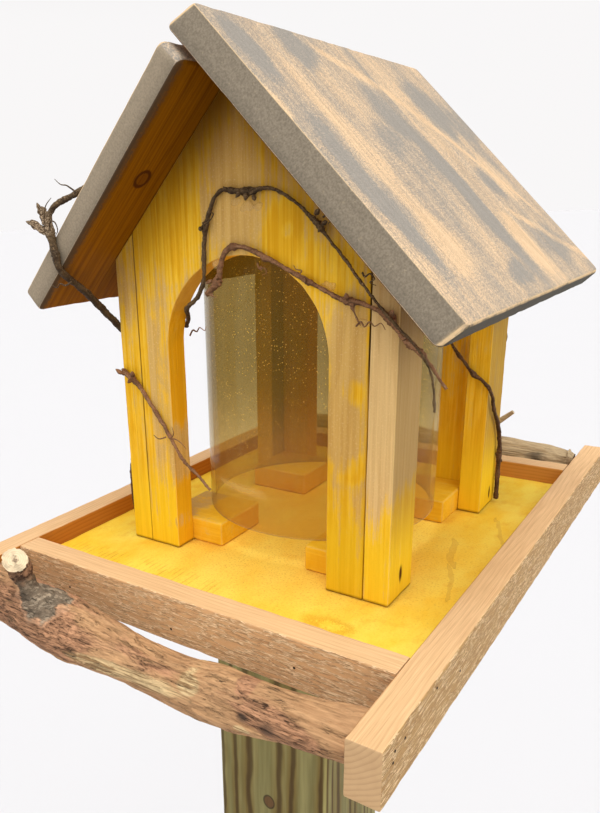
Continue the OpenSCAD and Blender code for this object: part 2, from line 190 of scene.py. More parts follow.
class Graph:
    """Node tree of one material or world, written as expressions."""

    def __init__(self, owner: bpy.types.Material | bpy.types.World) -> None:
        """Empties the owner's node tree.

        Args:
            owner: Material or world that the graph is for.
        """
        owner.use_nodes = True
        self.owner = owner
        self.tree = owner.node_tree
        self.tree.nodes.clear()

    @classmethod
    def named(cls, name: str) -> "Graph":
        """Graph of a new material."""
        return cls(bpy.data.materials.new(name))

    def node(
        self, kind: str, settings: dict | None = None, inputs: dict | None = None, out: int | str = 0,
    ) -> Value:
        """Adds a node.

        Args:
            kind: Node type without its ShaderNode prefix.
            settings: Node properties, set before the inputs.
            inputs: Values or links by socket name or number.
            out: Name or number of the socket to return.

        Returns:
            The chosen output socket.
        """
        made = self.tree.nodes.new("ShaderNode" + kind)
        for key, setting in (settings or {}).items():
            setattr(made, key, setting)
        for key, feed in (inputs or {}).items():
            if isinstance(feed, Value):
                self.tree.links.new(feed.socket, made.inputs[key])
            else:
                made.inputs[key].default_value = feed
        return Value(self, made.outputs[out])

    def place(self) -> Value:
        """Object coordinates."""
        return self.node("TexCoord", out="Object")

    def facing(self, axis: Vector, low: float = 0.45, high: float = 0.75) -> Value:
        """How far the surface faces along an axis, as a smooth step."""
        return self.dot(self.node("NewGeometry", out="Normal"), axis).step(low, high)

    def attribute(self, name: str) -> Value:
        """Number that the mesh keeps at its points."""
        return self.node("Attribute", {"attribute_type": "GEOMETRY", "attribute_name": name}, out="Fac")

    def dot(self, vector: Feed, axis: Vector) -> Value:
        """Length of a vector along an axis."""
        return self.node("VectorMath", {"operation": "DOT_PRODUCT"}, {0: vector, 1: axis}, "Value")

    def away(self, centre: Vector, stretch: Vector = Vector((1.0, 1.0, 1.0))) -> Value:
        """Distance from a centre.

        Args:
            centre: Place in metres.
            stretch: What each direction is multiplied by.

        Returns:
            The distance in millimetres.
        """
        shifted = self.node("VectorMath", {"operation": "SUBTRACT"}, {0: self.place(), 1: centre})
        scaled = self.node("VectorMath", {"operation": "MULTIPLY"}, {0: shifted, 1: stretch / MM})
        return self.node("VectorMath", {"operation": "LENGTH"}, {0: scaled}, "Value")

    def vector(self, x: Feed, y: Feed, z: Feed) -> Value:
        """Vector from three values."""
        return self.node("CombineXYZ", None, {0: x, 1: y, 2: z})

    def noise(
        self, spot: Sequence[Feed], detail: float = 2.0, rough: float = 0.5, bend: float = 0.0,
    ) -> Value:
        """Noise from 0 to 1 with features about one unit wide.

        Args:
            spot: Three coordinates.
            detail: Finer octaves.
            rough: Strength of each octave to the one before.
            bend: How far the noise bends itself.

        Returns:
            The noise.
        """
        inputs = {"Vector": self.vector(*spot), "Scale": 1.0, "Detail": detail, "Roughness": rough}
        inputs["Distortion"] = bend
        return self.node("TexNoise", {"noise_dimensions": "3D"}, inputs)

    def cells(self, spot: Sequence[Feed]) -> Value:
        """Distance to the nearest of scattered points about one unit apart."""
        inputs = {"Vector": self.vector(*spot), "Scale": 1.0}
        return self.node("TexVoronoi", {"feature": "F1"}, inputs, "Distance")

    def mix(self, share: Feed, first: Feed, second: Feed) -> Value:
        """Colour between first and second."""
        settings = {"data_type": "RGBA", "clamp_factor": True}
        return self.node("Mix", settings, {0: share, 6: first, 7: second}, 2)

    def bump(self, height: Value, depth_mm: float, strength: float = 1.0) -> Value:
        """Normal of a surface with that height in units of depth."""
        return self.node("Bump", None, {"Strength": strength, "Distance": depth_mm * MM, "Height": height})

    def surface(self, base: Feed, rough: Feed, normal: Value | None = None, **plain: float) -> Value:
        """Adds the Principled shader.

        Args:
            base: Base colour.
            rough: Roughness.
            normal: Bumped normal.
            plain: Other sockets by name with underscores for spaces.

        Returns:
            The shader socket.
        """
        inputs: dict = {"Base Color": base, "Roughness": rough, "Specular IOR Level": 0.18}
        inputs.update({name.replace("_", " "): number for name, number in plain.items()})
        if normal is not None:
            inputs["Normal"] = normal
        return self.node("BsdfPrincipled", None, inputs)

    def done(self, shader: Value, kind: str = "OutputMaterial") -> bpy.types.Material | bpy.types.World:
        """Links the shader to the output.

        Args:
            shader: Shader socket.
            kind: Type of the output node.

        Returns:
            The material or world.
        """
        output = self.tree.nodes.new("ShaderNode" + kind)
        self.tree.links.new(shader.socket, output.inputs["Surface"])
        return self.owner

    def world(self) -> tuple[Value, Value, Value]:
        """Place in millimetres from the part's origin."""
        return Grain(Vector(), RIGHT, BACK).read(self)

    def house(self) -> tuple[Value, Value, Value]:
        """Place in millimetres from the middle of the tray floor's top."""
        return Grain(TRAY * MM, RIGHT, BACK).read(self)

    def oval(self, x: Value, y: Value, middle: tuple[float, float], reach: tuple[float, float]) -> Value:
        """1 in the middle of a soft oval and 0 outside it.

        Args:
            x: First coordinate.
            y: Second coordinate.
            middle: Middle of the oval.
            reach: Half its width and half its height.

        Returns:
            The oval's mask.
        """
        across = (x - middle[0]) / reach[0]
        along = (y - middle[1]) / reach[1]
        return (across * across + along * along).fade(0.04, 1.0)

    def spread(self, zones: Iterable["Zone"]) -> Value:
        """Sum of ovals seen from the front.

        Args:
            zones: Middle, reach each way and amount of each oval.

        Returns:
            The sum of the amounts.
        """
        x, _, z = self.house()
        total = x * 0.0
        for zone_x, zone_z, reach_x, reach_z, amount in zones:
            total = total + self.oval(x, z, (zone_x, zone_z), (reach_x, reach_z)) * amount
        return total

    def rounding(self, *axes: Vector) -> Value:
        """Mask of the rounded edges.

        Args:
            axes: Directions of the flat faces.

        Returns:
            1 where the surface turns from one of the axes to another.
        """
        normal = self.node("NewGeometry", out="Normal")
        flat = self.dot(normal, axes[0]).abs()
        for axis in axes[1:]:
            flat = flat.most(self.dot(normal, axis).abs())
        return flat.fade(0.84, 0.97)


@dataclass(frozen=True)
class Grain:
    """Directions of a board's grain, read in millimetres from its middle."""

    middle: Vector
    along: Vector
    across: Vector

    @classmethod
    def of(cls, node: str, along: Vector, across: Vector) -> "Grain":
        """Grain of a CAD node, from the middle of its box."""
        low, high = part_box(node)
        return cls((low + high) / 2, along, across)

    @property
    def thick(self) -> Vector:
        """Direction square to along and across."""
        return self.along.cross(self.across)

    def read(self, graph: Graph) -> tuple[Value, Value, Value]:
        """Reads a place in the board.

        Args:
            graph: Material that it is for.

        Returns:
            Values along, across and through the board.
        """
        shifted = graph.node("VectorMath", {"operation": "SUBTRACT"}, {0: graph.place(), 1: self.middle})
        axes = (self.along, self.across, self.thick)
        along, across, thick = (graph.dot(shifted, axis / MM) for axis in axes)
        return along, across, thick


def fibres(
    graph: Graph, local: Sequence[Value], width: float, stretch: float, seed: float, detail: float = 3.0,
) -> Value:
    """Noise drawn out along the grain.

    Args:
        graph: Material that it is for.
        local: Values along, across and through the board.
        width: Width of a fibre in millimetres.
        stretch: Length of a fibre in widths.
        seed: Shift that makes one board differ from the next.
        detail: Finer octaves.

    Returns:
        Noise from 0 to 1.
    """
    along, across, thick = local
    spot = (along / (width * stretch) + seed, across / width + seed, thick / width)
    return graph.noise(spot, detail, 0.6)


def rings(
    graph: Graph, local: Sequence[Value], pith: tuple[float, float], pitch: float, wave: float, seed: float,
) -> Value:
    """Growth rings round a pith that runs along the grain.

    Args:
        graph: Material that they are for.
        local: Values along, across and through the board.
        pith: Place of the pith across and through the board in millimetres.
        pitch: Width of a ring in millimetres.
        wave: How far a ring wanders in millimetres.
        seed: Shift that makes one board differ from the next.

    Returns:
        From 0 at a ring's start to 1 at its dark late wood.
    """
    along, across, thick = local
    wander = graph.noise((along * 0.009 + seed, across * 0.03, thick * 0.03), 2.0) - 0.5
    x = across - pith[0]
    y = thick - pith[1]
    radius = (x * x + y * y) ** 0.5 + wander * wave
    return (radius / pitch).fract()


@dataclass(frozen=True)
class YellowStain:
    """Yellow stain dry-brushed over pale softwood.

    A zone is the middle of an oval in x and z from the tray floor, its reach each way and what it adds to
    the cover.
    """

    grain: Grain
    cover: float
    seed: float
    foot: float = 0.0
    zones: tuple[Zone, ...] = ()
    marks: tuple[tuple[Vector, Vector], ...] = ()
    lines: float = 0.5
    reveal: float = 0.0
    painted_side_shade: float = 0.0
    joint: float = 0.0
    figure: float = 1.0
    painted_shades: tuple[Zone, ...] = ()
    stain: tuple[Colour, Colour, Colour] = (tint(255, 208, 56), tint(236, 172, 2), tint(184, 118, 0))
    wood: Pair = (tint(226, 186, 108), tint(176, 130, 58))

    def material(self, name: str) -> bpy.types.Material:
        """Builds the stain's material.

        Args:
            name: Name of the material.

        Returns:
            The material.
        """
        graph = Graph.named(name)
        local = self.grain.read(graph)
        x, y, z = graph.house()
        fine = fibres(graph, local, 0.7, 60.0, self.seed)
        vein = fibres(graph, local, 1.5, 70.0, self.seed + 6.0, 2.0).step(0.36, 0.64).sway(self.figure) + 0.5
        streak = fibres(graph, local, 3.4, 22.0, self.seed + 1.2).sway(self.figure) + 0.5
        broad = fibres(graph, local, 9.0, 6.0, self.seed + 3.7)
        blot = graph.noise((x * 0.1 + self.seed, y * 0.1, z * 0.05), 6.0, 0.7, 0.5)
        speck = graph.noise((x * 1.1, y * 1.1, z * 0.9 + self.seed), 2.0, 0.7).step(0.55, 0.68)
        ring = rings(graph, local, pith=(31.0, -74.0), pitch=3.6, wave=12.0, seed=self.seed)
        late = ring.step(0.3, 0.95) * ring.fade(0.95, 1.0) * self.lines
        push = vein.sway(0.3) + streak.sway(1.1) + broad.sway(0.7) + blot.sway(1.5) + self.cover
        if self.foot:
            push = push + z.fade(6.0, 80.0) * self.foot
        push = push + graph.spread(self.zones)
        side = 1.0 - graph.facing(BACK, 0.5, 0.8).most(graph.facing(-BACK, 0.5, 0.8))
        if self.reveal:
            push = push + side * 0.5
        brushed = push.step(0.18, 0.8)
        pale = graph.mix(vein * 0.28 + late * 0.3 + fine * 0.25, self.wood[0], self.wood[1])
        pale = graph.mix(speck * 0.4, pale, tint(240, 208, 150))
        loaded = vein * 0.3 + (push - 0.3).step(0.2, 0.9) * 0.5 + fine * 0.2
        yellow = graph.mix(loaded, self.stain[0], self.stain[1])
        pooled = late * 0.25 + streak.fade(0.3, 0.5) * 0.25 + vein * 0.1
        yellow = graph.mix(pooled, yellow, self.stain[2])
        if self.foot:
            yellow = graph.mix(z.fade(20.0, 70.0) * 0.6, yellow, tint(255, 218, 34))
        if self.reveal:
            yellow = graph.mix(side * self.reveal, yellow, tint(228, 158, 2))
        base = graph.mix(brushed * 0.95, pale, yellow)
        # Painted shade: faces that look to the right are darkened above the foot.
        if self.painted_side_shade:
            base = graph.mix(graph.facing(RIGHT) * z.step(15.0, 70.0) * self.painted_side_shade, base, tint(128, 98, 46))
        eaves = RIDGE - x.abs() * math.tan(ROOF_SLOPE) - z
        # Painted shade: the wall darkens towards deep amber just under the roof's edges, where the eaves
        # shade it.
        painted_eave_shade = eaves.fade(2.0, 64.0) * (z.step(180.0, 262.0) * 0.4 + 0.58)
        base = graph.mix(painted_eave_shade, base, tint(98, 60, 0))
        # Painted shade: ovals given for each board, darkened towards deep amber.
        base = graph.mix(graph.spread(self.painted_shades), base, tint(136, 88, 0))
        worn = graph.rounding(RIGHT, BACK, UP) * (fine * 0.8 + 0.2)
        if self.joint:
            seam_off = (x.abs() - SEAM).abs()
            worn = worn * seam_off.step(1.0, 2.5)
            open_top = x.step(60.0, 70.0) * z.step(112.0, 134.0)
            gap = (seam_off + streak.sway(0.9)).fade(0.2, 0.8)
            base = graph.mix(gap * (open_top * 0.6 + 0.3) * self.joint, base, tint(52, 28, 4))
        base = graph.mix(worn * 0.55, base, self.wood[0])
        # Painted contact shadow: a dark line along the bottom 2 mm of the foot.
        if self.foot:
            base = graph.mix(z.fade(0.4, 2.4) * 0.75, base, tint(96, 58, 4))
        for centre, stretch in self.marks:
            far = graph.away(centre, stretch) + fine.sway(1.6)
            base = graph.mix(far.fade(0.4, 1.0), base, tint(82, 46, 12))
        normal = graph.bump(vein * 0.5 + late * 0.3 + speck * 0.35 + fine * 0.3, 0.3, 0.75)
        return graph.done(graph.surface(base, 0.55 + fine * 0.2, normal, Specular_IOR_Level=0.07))


@dataclass(frozen=True)
class FloorStain:
    """Heavier yellow stain on the floor, with open grain, sand and water marks.

    A run is the middle of a water mark in x and y, half its length and width and how dark it is.
    """

    grain: Grain
    ring_mark: tuple[float, float]
    runs: tuple[Zone, ...]
    ring_reach: tuple[float, float] = (13.0, 7.0)
    run_way: tuple[float, float] = (0.34, 0.94)

    def material(self, name: str) -> bpy.types.Material:
        """Builds the floor's material.

        Args:
            name: Name of the material.

        Returns:
            The material.
        """
        graph = Graph.named(name)
        local = self.grain.read(graph)
        x, y, z = graph.house()
        fine = fibres(graph, local, 0.5, 26.0, 1.3)
        broad = graph.noise((x * 0.035, y * 0.02, z * 0.03), 4.0, 0.6)
        blot = graph.noise((x * 0.11, y * 0.07, z * 0.1 + 4.0), 3.0, 0.6)
        grit = graph.noise((x * 0.8, y * 0.8, z), 4.0, 0.8)
        sandy = graph.away(on_tray(15.0, -40.0, 0.0)).fade(55.0, 135.0)
        base = graph.mix(broad.step(0.3, 0.7), tint(255, 227, 90), tint(250, 201, 46))
        base = graph.mix(blot.step(0.5, 0.75) * 0.5, base, tint(238, 176, 34))
        base = graph.mix(sandy * 0.5, base, tint(250, 197, 90))
        base = graph.mix(grit.step(0.52, 0.68) * (sandy * 0.5 + 0.2), base, tint(186, 116, 26))
        base = graph.mix(grit.fade(0.3, 0.42) * 0.35, base, tint(255, 230, 130))
        comb = ((x + blot * 2.2) / 3.7 + fine * 0.12).fract()
        lines = comb.band(0.5, 0.03, 0.13)
        front = graph.oval(x, y, (-58.0, -130.0), (92.0, 22.0)) * blot.step(0.42, 0.55)
        base = graph.mix(lines * front * 0.6, base, tint(196, 134, 10))
        turn, fall = self.run_way
        for run_x, run_y, length, width, depth in self.runs:
            down = (x - run_x) * turn - (y - run_y) * fall
            side = (x - run_x) * fall + (y - run_y) * turn + broad.sway(14.0) + blot.sway(5.0)
            wet = graph.oval(down, side, (0.0, 0.0), (length, width)) + grit.sway(0.9)
            base = graph.mix(wet.step(0.3, 0.44) * depth, base, tint(206, 150, 58))
            base = graph.mix(wet.band(0.38, 0.02, 0.12) * depth, base, tint(180, 124, 34))
        across = (x - self.ring_mark[0]) / self.ring_reach[0]
        along = (y - self.ring_mark[1]) / self.ring_reach[1]
        far = (across * across + along * along) ** 0.5 + grit.sway(3.0) + blot.sway(1.2)
        base = graph.mix(far.band(0.8, 0.02, 0.4) * 0.5, base, tint(190, 130, 16))
        normal = graph.bump(fine * 0.4 - lines * front * 0.8 + grit * 0.5, 0.3, 0.6)
        return graph.done(graph.surface(base, 0.52 + fine * 0.2, normal))


@dataclass(frozen=True)
class RoofPaint:
    """Grey wash sanded back to tan on top, amber stain below, worn arrises.

    A zone is the middle of an oval along y and down the slope from the board's middle, its reach each way
    and how much grey it adds. A sweep is a sanded line: its first and last y, its place down the slope, its
    slope and its bend. A lane is a sanded strip between two values of y.
    """

    grain: Grain
    front_end: Pair
    seed: float
    end_face: Vector
    zones: tuple[Zone, ...] = ()
    sweeps: tuple[Sweep, ...] = ()
    lane: tuple[float, float] | None = None
    knot: Vector | None = None
    front: float = -134.0

    def material(self, name: str) -> bpy.types.Material:
        """Builds the roof board's material.

        Args:
            name: Name of the material.

        Returns:
            The material.
        """
        graph = Graph.named(name)
        local = self.grain.read(graph)
        along, across, thick = local
        fine = fibres(graph, local, 0.6, 30.0, self.seed)
        scratch = graph.noise((along * 0.55, across * 0.55 + along * 0.2, thick * 0.5), 3.0, 0.7)
        grit = graph.noise((along * 1.1, across * 1.1 + along * 0.3, thick), 2.0, 0.6).step(0.34, 0.66)
        cloud = graph.noise((along * 0.018 + self.seed, across * 0.03, self.seed), 4.0, 0.6)
        streak = graph.noise((along * 0.006, across * 0.1 + self.seed, 0.0), 3.0, 0.6)
        ring = rings(graph, local, pith=(38.0, -60.0), pitch=5.5, wave=14.0, seed=self.seed)
        late = ring.step(0.5, 1.0)
        vein = fibres(graph, local, 1.7, 60.0, self.seed + 8.0, 2.0).step(0.36, 0.64)
        push = cloud.sway(0.9) + streak.sway(0.55) + scratch.sway(0.8) + grit.sway(0.3) + 0.56
        warp = graph.noise((along * 0.02, across * 0.024, self.seed), 4.0, 0.6) - 0.5
        drift = graph.noise((along * 0.02 + 7.0, across * 0.024, self.seed), 4.0, 0.6) - 0.5
        side = across + warp * 24.0
        down = along + drift * 50.0
        for zone_y, zone_down, reach_y, reach_down, amount in self.zones:
            push = push + graph.oval(side, down, (zone_y, zone_down), (reach_y, reach_down)) * amount
        for first, last, level, slope, bend in self.sweeps:
            run = across + warp * 6.0 - first
            off = (along + drift * 16.0 - level - run * slope - run * run * bend).abs()
            within = run.step(-8.0, 6.0) * run.fade(last - first - 8.0, last - first + 8.0)
            push = push - off.fade(0.5, 8.0) * within * 0.4
        if self.lane is not None:
            first, last = self.lane
            strip = across.step(first - 0.6, first + 0.6) * across.fade(last - 0.6, last + 0.6)
            push = push - strip * 0.16
        washed = push.step(0.08, 0.94)
        sanded = vein * 0.24 + scratch * 0.4 + grit * 0.26 + fine * 0.1
        tan = graph.mix(sanded, tint(244, 212, 170), tint(166, 134, 102))
        grey = graph.mix(fine * 0.3 + scratch * 0.45 + grit * 0.25, tint(166, 160, 150), tint(110, 106, 99))
        base = graph.mix(washed * 0.95, tan, grey)
        base = graph.mix(late * 0.12, base, tint(120, 104, 84))
        ends = graph.facing(self.end_face, 0.8, 0.92)
        drawn = fibres(graph, local, 1.6, 14.0, self.seed + 2.5)
        end = graph.mix(scratch * 0.3 + grit * 0.4 + drawn * 0.3, self.front_end[1], self.front_end[0])
        end = graph.mix(scratch.step(0.62, 0.7) * 0.14, end, tint(206, 182, 140))
        end = graph.mix(thick.fade(-8.0, 1.0) * 0.4, end, tint(86, 79, 68))
        base = graph.mix(ends, base, end)
        dark = graph.mix(scratch, tint(92, 88, 78), tint(54, 51, 45))
        eave = graph.facing(self.grain.along, 0.6, 0.8)
        base = graph.mix(graph.facing(BACK, 0.6, 0.8).most(eave), base, dark)
        upper = graph.facing(self.grain.thick, 0.1, 0.3)
        worn = graph.rounding(self.grain.along, self.grain.across, self.grain.thick, self.end_face) * upper
        worn = worn * (streak + scratch * 0.7).step(0.6, 0.95)
        base = graph.mix(worn * 0.7, base, tint(228, 194, 144))
        pore = fibres(graph, local, 0.8, 7.0, self.seed + 5.0).step(0.64, 0.72)
        amber = graph.mix(late * 0.3 + vein * 0.4 + cloud * 0.3, tint(140, 88, 0), tint(96, 55, 0))
        amber = graph.mix(pore * 0.5, amber, tint(80, 44, 0))
        if self.knot is not None:
            far = graph.away(self.knot, Vector((0.2, 0.2, 0.2))) + fine.sway(0.3)
            amber = graph.mix(far.band(1.0, 0.1, 0.34), amber, tint(72, 36, 4))
            amber = graph.mix(far.fade(0.6, 0.9) * 0.6, amber, tint(92, 48, 6))
        smear = graph.house()[1] - self.front + scratch.sway(9.0)
        amber = graph.mix(smear.fade(2.0, 8.0) * 0.8, amber, tint(62, 56, 47))
        base = graph.mix(graph.facing(-self.grain.thick, 0.5, 0.7), base, amber)
        normal = graph.bump(fine * 0.4 + scratch * 0.8 + late * 0.15, 0.32, 0.6)
        return graph.done(graph.surface(base, 0.6 + fine * 0.2, normal, Specular_IOR_Level=0.08))


@dataclass(frozen=True)
class Cedar:
    """Bare cedar rail: planed top, rough-sawn outside, oiled inside."""

    grain: Grain
    seed: float
    sawn: float
    outer: Pair
    inner: Pair

    def material(self, name: str) -> bpy.types.Material:
        """Builds the rail's material.

        Args:
            name: Name of the material.

        Returns:
            The material.
        """
        graph = Graph.named(name)
        local = self.grain.read(graph)
        along, across, thick = local
        fine = fibres(graph, local, 0.5, 60.0, self.seed)
        ring = rings(graph, local, pith=(-24.0, -33.0), pitch=2.3, wave=9.0, seed=self.seed)
        late = ring.step(0.4, 1.0)
        broad = fibres(graph, local, 9.0, 8.0, self.seed + 2.0)
        figure = late * 0.2 + fine.step(0.3, 0.7) * 0.45 + broad * 0.35
        top = graph.mix(figure, tint(234, 194, 144), tint(188, 144, 98))
        saw = graph.noise((along * 0.08 + self.seed, across * 0.2, thick * 0.85), 3.0, 0.55, 0.15)
        gaps = graph.noise((along * 0.2, across * 0.2, thick * 0.9 + self.seed), 2.0).step(0.28, 0.42)
        # Painted highlight on the crests of the saw marks, and painted shadow in a line beside each crest.
        crest_highlight = saw.band(0.48, 0.015, 0.05) * gaps
        shade = saw.band(0.55, 0.015, 0.055) * gaps
        rough = graph.mix(broad * 0.5 + fine * 0.5, self.outer[0], self.outer[1])
        rough = graph.mix(shade * self.sawn * 0.5, rough, tint(132, 94, 58))
        rough = graph.mix(crest_highlight * self.sawn * 0.75, rough, tint(255, 222, 174))
        inner = graph.mix(late * 0.4 + broad * 0.4 + fine * 0.2, *self.inner)
        outside = graph.facing(self.grain.across)
        base = graph.mix(outside, top, rough)
        base = graph.mix(graph.facing(-self.grain.across), base, inner)
        base = graph.mix(graph.facing(-UP), base, rough)
        end = graph.mix(late * 0.4 + broad * 0.6, tint(202, 166, 122), tint(172, 136, 96))
        ends = graph.facing(self.grain.along).most(graph.facing(-self.grain.along))
        base = graph.mix(ends, base, end)
        normal = graph.bump(fine * 0.25 + (saw * 0.5 + crest_highlight * 0.9) * outside * self.sawn, 0.5, 0.8)
        return graph.done(graph.surface(base, 0.58 + fine * 0.2, normal))


@dataclass(frozen=True)
class TreatedPine:
    """Green pressure-treated pine with brown late wood and one knot.

    A stripe is its middle across the front face and half its width, in millimetres. The stripes come again
    on the other faces, shifted by the turn round each corner.
    """

    grain: Grain
    knot: Vector
    stripes: tuple[tuple[float, float], ...]
    width: float = 89.0
    turn: float = 1.31

    def material(self, name: str) -> bpy.types.Material:
        """Builds the post's material.

        Args:
            name: Name of the material.

        Returns:
            The material.
        """
        graph = Graph.named(name)
        local = self.grain.read(graph)
        along, across, thick = local
        far = graph.away(self.knot, Vector((1.0, 0.5, 0.82)))
        knot_across = (self.knot - self.grain.middle).dot(self.grain.across) / MM
        bulge = (across - knot_across).step(-16.0, 16.0) * 2.0 - 1.0
        fine = fibres(graph, local, 0.5, 60.0, 4.0)
        broad = fibres(graph, local, 11.0, 14.0, 1.0)
        wander = graph.noise((along * 0.012, across * 0.02, thick * 0.02), 3.0) - 0.5
        half_width = self.width / 2
        turned = across + (thick + half_width) * self.turn + wander * 14.0
        turned = turned - bulge * far.fade(4.0, 24.0) * 3.0
        run = ((turned + half_width) / self.width).fract() * self.width - half_width
        base = graph.mix(broad.step(0.25, 0.75) * 0.7 + fine * 0.3, tint(152, 143, 92), tint(86, 78, 38))
        brown = graph.mix(fine, tint(78, 54, 18), tint(46, 30, 9))
        for middle, half in self.stripes:
            off = run - middle
            glow = off.abs().fade(half * 0.6, half * 3.2)
            base = graph.mix(glow * broad.step(0.3, 0.6) * 0.5, base, tint(122, 92, 32))
            stripe = (off + fine.sway(1.5)).abs().fade(half * 0.3, half * 1.4)
            base = graph.mix(stripe * (broad * 0.4 + 0.6), base, brown)
        core = (far + fine.sway(1.2)).fade(3.4, 5.0)
        base = graph.mix(core, base, graph.mix(fine, tint(112, 82, 46), tint(80, 54, 28)))
        ring = (far + broad.sway(1.6)).band(4.4, 0.1, 1.1)
        base = graph.mix(ring * 0.8, base, tint(44, 30, 12))
        base = graph.mix(graph.rounding(RIGHT, BACK, UP) * fine * 0.5, base, tint(186, 176, 112))
        normal = graph.bump(fine * 0.5 + broad * 0.5, 0.3, 0.6)
        return graph.done(graph.surface(base, 0.55 + fine * 0.15, normal))


@dataclass(frozen=True)
class Bark:
    """Branch with fibrous bare wood, strips of bark and a grey bark collar."""

    grain: Grain
    seed: float
    smudges: tuple[tuple[Vector, float], ...] = ()
    cut_middle: Vector | None = None
    rusty: tuple[Zone, ...] = ()
    straws: tuple[Zone, ...] = ()
    bare: Pair = (tint(211, 166, 119), tint(126, 87, 57))

    def material(self, name: str) -> bpy.types.Material:
        """Builds the branch's material.

        Args:
            name: Name of the material.

        Returns:
            The material.
        """
        graph = Graph.named(name)
        local = self.grain.read(graph)
        along, across, thick = local
        fine = fibres(graph, local, 0.6, 26.0, self.seed)
        strand = fibres(graph, local, 1.7, 22.0, self.seed + 1.0)
        patch = graph.noise((along * 0.016 + self.seed, across * 0.05, thick * 0.05), 4.0, 0.6)
        scale = graph.noise((along * 0.07 + self.seed, across * 0.3, thick * 0.3), 5.0, 0.7, 0.5)
        under = graph.facing(-UP, 0.05, 0.7)
        rusted = patch - 0.5 + graph.spread(self.rusty) + under * 0.06
        bare = graph.mix(strand.step(0.3, 0.7) * 0.4 + fine * 0.35, self.bare[0], self.bare[1])
        rust = graph.mix(fine * 0.4 + scale.step(0.35, 0.65) * 0.6, tint(210, 156, 116), tint(104, 70, 50))
        base = graph.mix(rusted.step(0.02, 0.16) * 0.9, bare, rust)
        straw = graph.mix(strand.step(0.42, 0.6) * 0.8 + fine * 0.2, tint(232, 204, 152), tint(124, 94, 58))
        strawed = graph.spread(self.straws) + scale.sway(1.3) + strand.sway(1.4)
        base = graph.mix(strawed.step(0.1, 0.55) * 0.8, base, straw)
        crack = strand.sway(2.0).abs().fade(0.0, 0.09) * (scale + rusted * 0.4).step(0.54, 0.64)
        base = graph.mix(crack * 0.9, base, tint(46, 31, 22))
        check = fibres(graph, local, 1.1, 13.0, self.seed + 4.0)
        check = check.sway(2.0).abs().fade(0.0, 0.1) * (scale + rusted * 0.5).step(0.4, 0.56)
        base = graph.mix(check * 0.3, base, tint(76, 50, 35))
        pit = scale.step(0.58, 0.66) * rusted.step(0.06, 0.16)
        base = graph.mix(pit * 0.65, base, tint(74, 53, 41))
        for centre, reach in self.smudges:
            far = graph.away(centre, Vector((0.6, 1.0, 1.0)) / reach) + scale.sway(1.5)
            base = graph.mix(far.fade(0.3, 1.0) * 0.75, base, tint(58, 49, 43))
        x, y, z = graph.house()
        flow = graph.noise(((x + z * 0.5) * 0.06, (z * 0.9 - x * 0.45) * 0.4, y * 0.3), 5.0, 0.65)
        shaded = along.fade(-84.0, -58.0)
        grey = graph.mix(flow.step(0.36, 0.64) * 0.7 + fine * 0.3, tint(176, 159, 134), tint(94, 81, 66))
        deep = graph.mix(flow.step(0.38, 0.6), tint(112, 96, 78), tint(42, 34, 27))
        grey = graph.mix(shaded * 0.5, grey, deep)
        split = flow.sway(2.0).abs().fade(0.0, 0.06)
        grey = graph.mix(crack.most(pit).most(split) * 0.65, grey, tint(28, 23, 19))
        share = graph.attribute("collar")
        ragged = share + scale.sway(0.7) + strand.sway(0.5)
        torn = ragged.band(0.34, 0.02, 0.2)
        base = graph.mix(torn * share.step(0.02, 0.1) * 0.45, base, tint(222, 174, 136))
        base = graph.mix(ragged.step(0.34, 0.62) * 0.95, base, grey)
        husk = graph.mix(scale.step(0.35, 0.6), tint(164, 122, 90), tint(74, 52, 38))
        husk = graph.mix(pit.most(crack) * 0.8, husk, tint(34, 25, 20))
        base = graph.mix(graph.attribute("husk"), base, husk)
        if self.cut_middle is not None:
            far = graph.away(self.cut_middle)
            year = (far * 0.8 + scale * 1.5).fract()
            pale = graph.mix(year * 0.5, tint(230, 210, 174), tint(198, 166, 124))
            rot = graph.noise((along * 0.35, across * 0.35, thick * 0.35), 4.0, 0.7)
            pale = graph.mix((far + rot * 9.0).fade(4.4, 7.0) * 0.85, pale, tint(104, 74, 56))
            base = graph.mix(graph.attribute("cut").step(0.5, 0.6), base, pale)
        normal = graph.bump(fine * 0.6 + strand * 0.6 + scale * 0.6 - crack * 0.8 - check * 0.4, 0.8, 0.85)
        return graph.done(graph.surface(base, 0.72 + fine * 0.15, normal))


@dataclass(frozen=True)
class VineSkin:
    """Dry vine bark, smooth or shredded."""

    light: Colour
    dark: Colour
    seed: float
    torn: tuple[tuple[Vector, float], ...] = ()

    def material(self, name: str) -> bpy.types.Material:
        """Builds the vine's material.

        Args:
            name: Name of the material.

        Returns:
            The material.
        """
        graph = Graph.named(name)
        x, y, z = graph.world()
        broad = graph.noise((x * 0.12 + self.seed, y * 0.12, z * 0.12), 3.0, 0.6)
        fine = graph.noise((x * 1.3, y * 1.3 + self.seed, z * 1.3), 4.0, 0.65)
        base = graph.mix(broad.step(0.3, 0.7) * 0.6 + fine * 0.4, self.light, self.dark)
        # Pale flecks, weighted to the upper side as a painted highlight.
        lit = graph.facing(UP, -0.4, 0.5)
        base = graph.mix(fine.step(0.54, 0.68) * (lit * 0.6 + 0.15), base, tint(186, 154, 116))
        base = graph.mix(fine.fade(0.34, 0.46) * 0.75, base, tint(34, 22, 13))
        # Painted shade: the underside is darkened.
        base = graph.mix(graph.facing(-UP, -0.1, 0.7) * 0.65, base, tint(36, 23, 13))
        for centre, reach in self.torn:
            far = graph.away(centre) / reach + fine.sway(1.6)
            fray = graph.mix(fine.step(0.4, 0.56), tint(216, 188, 152), tint(58, 38, 24))
            base = graph.mix(far.fade(0.3, 1.0) * 0.7, base, fray)
        normal = graph.bump(fine, 0.7, 0.9)
        return graph.done(graph.surface(base, 0.55 + fine * 0.2, normal))


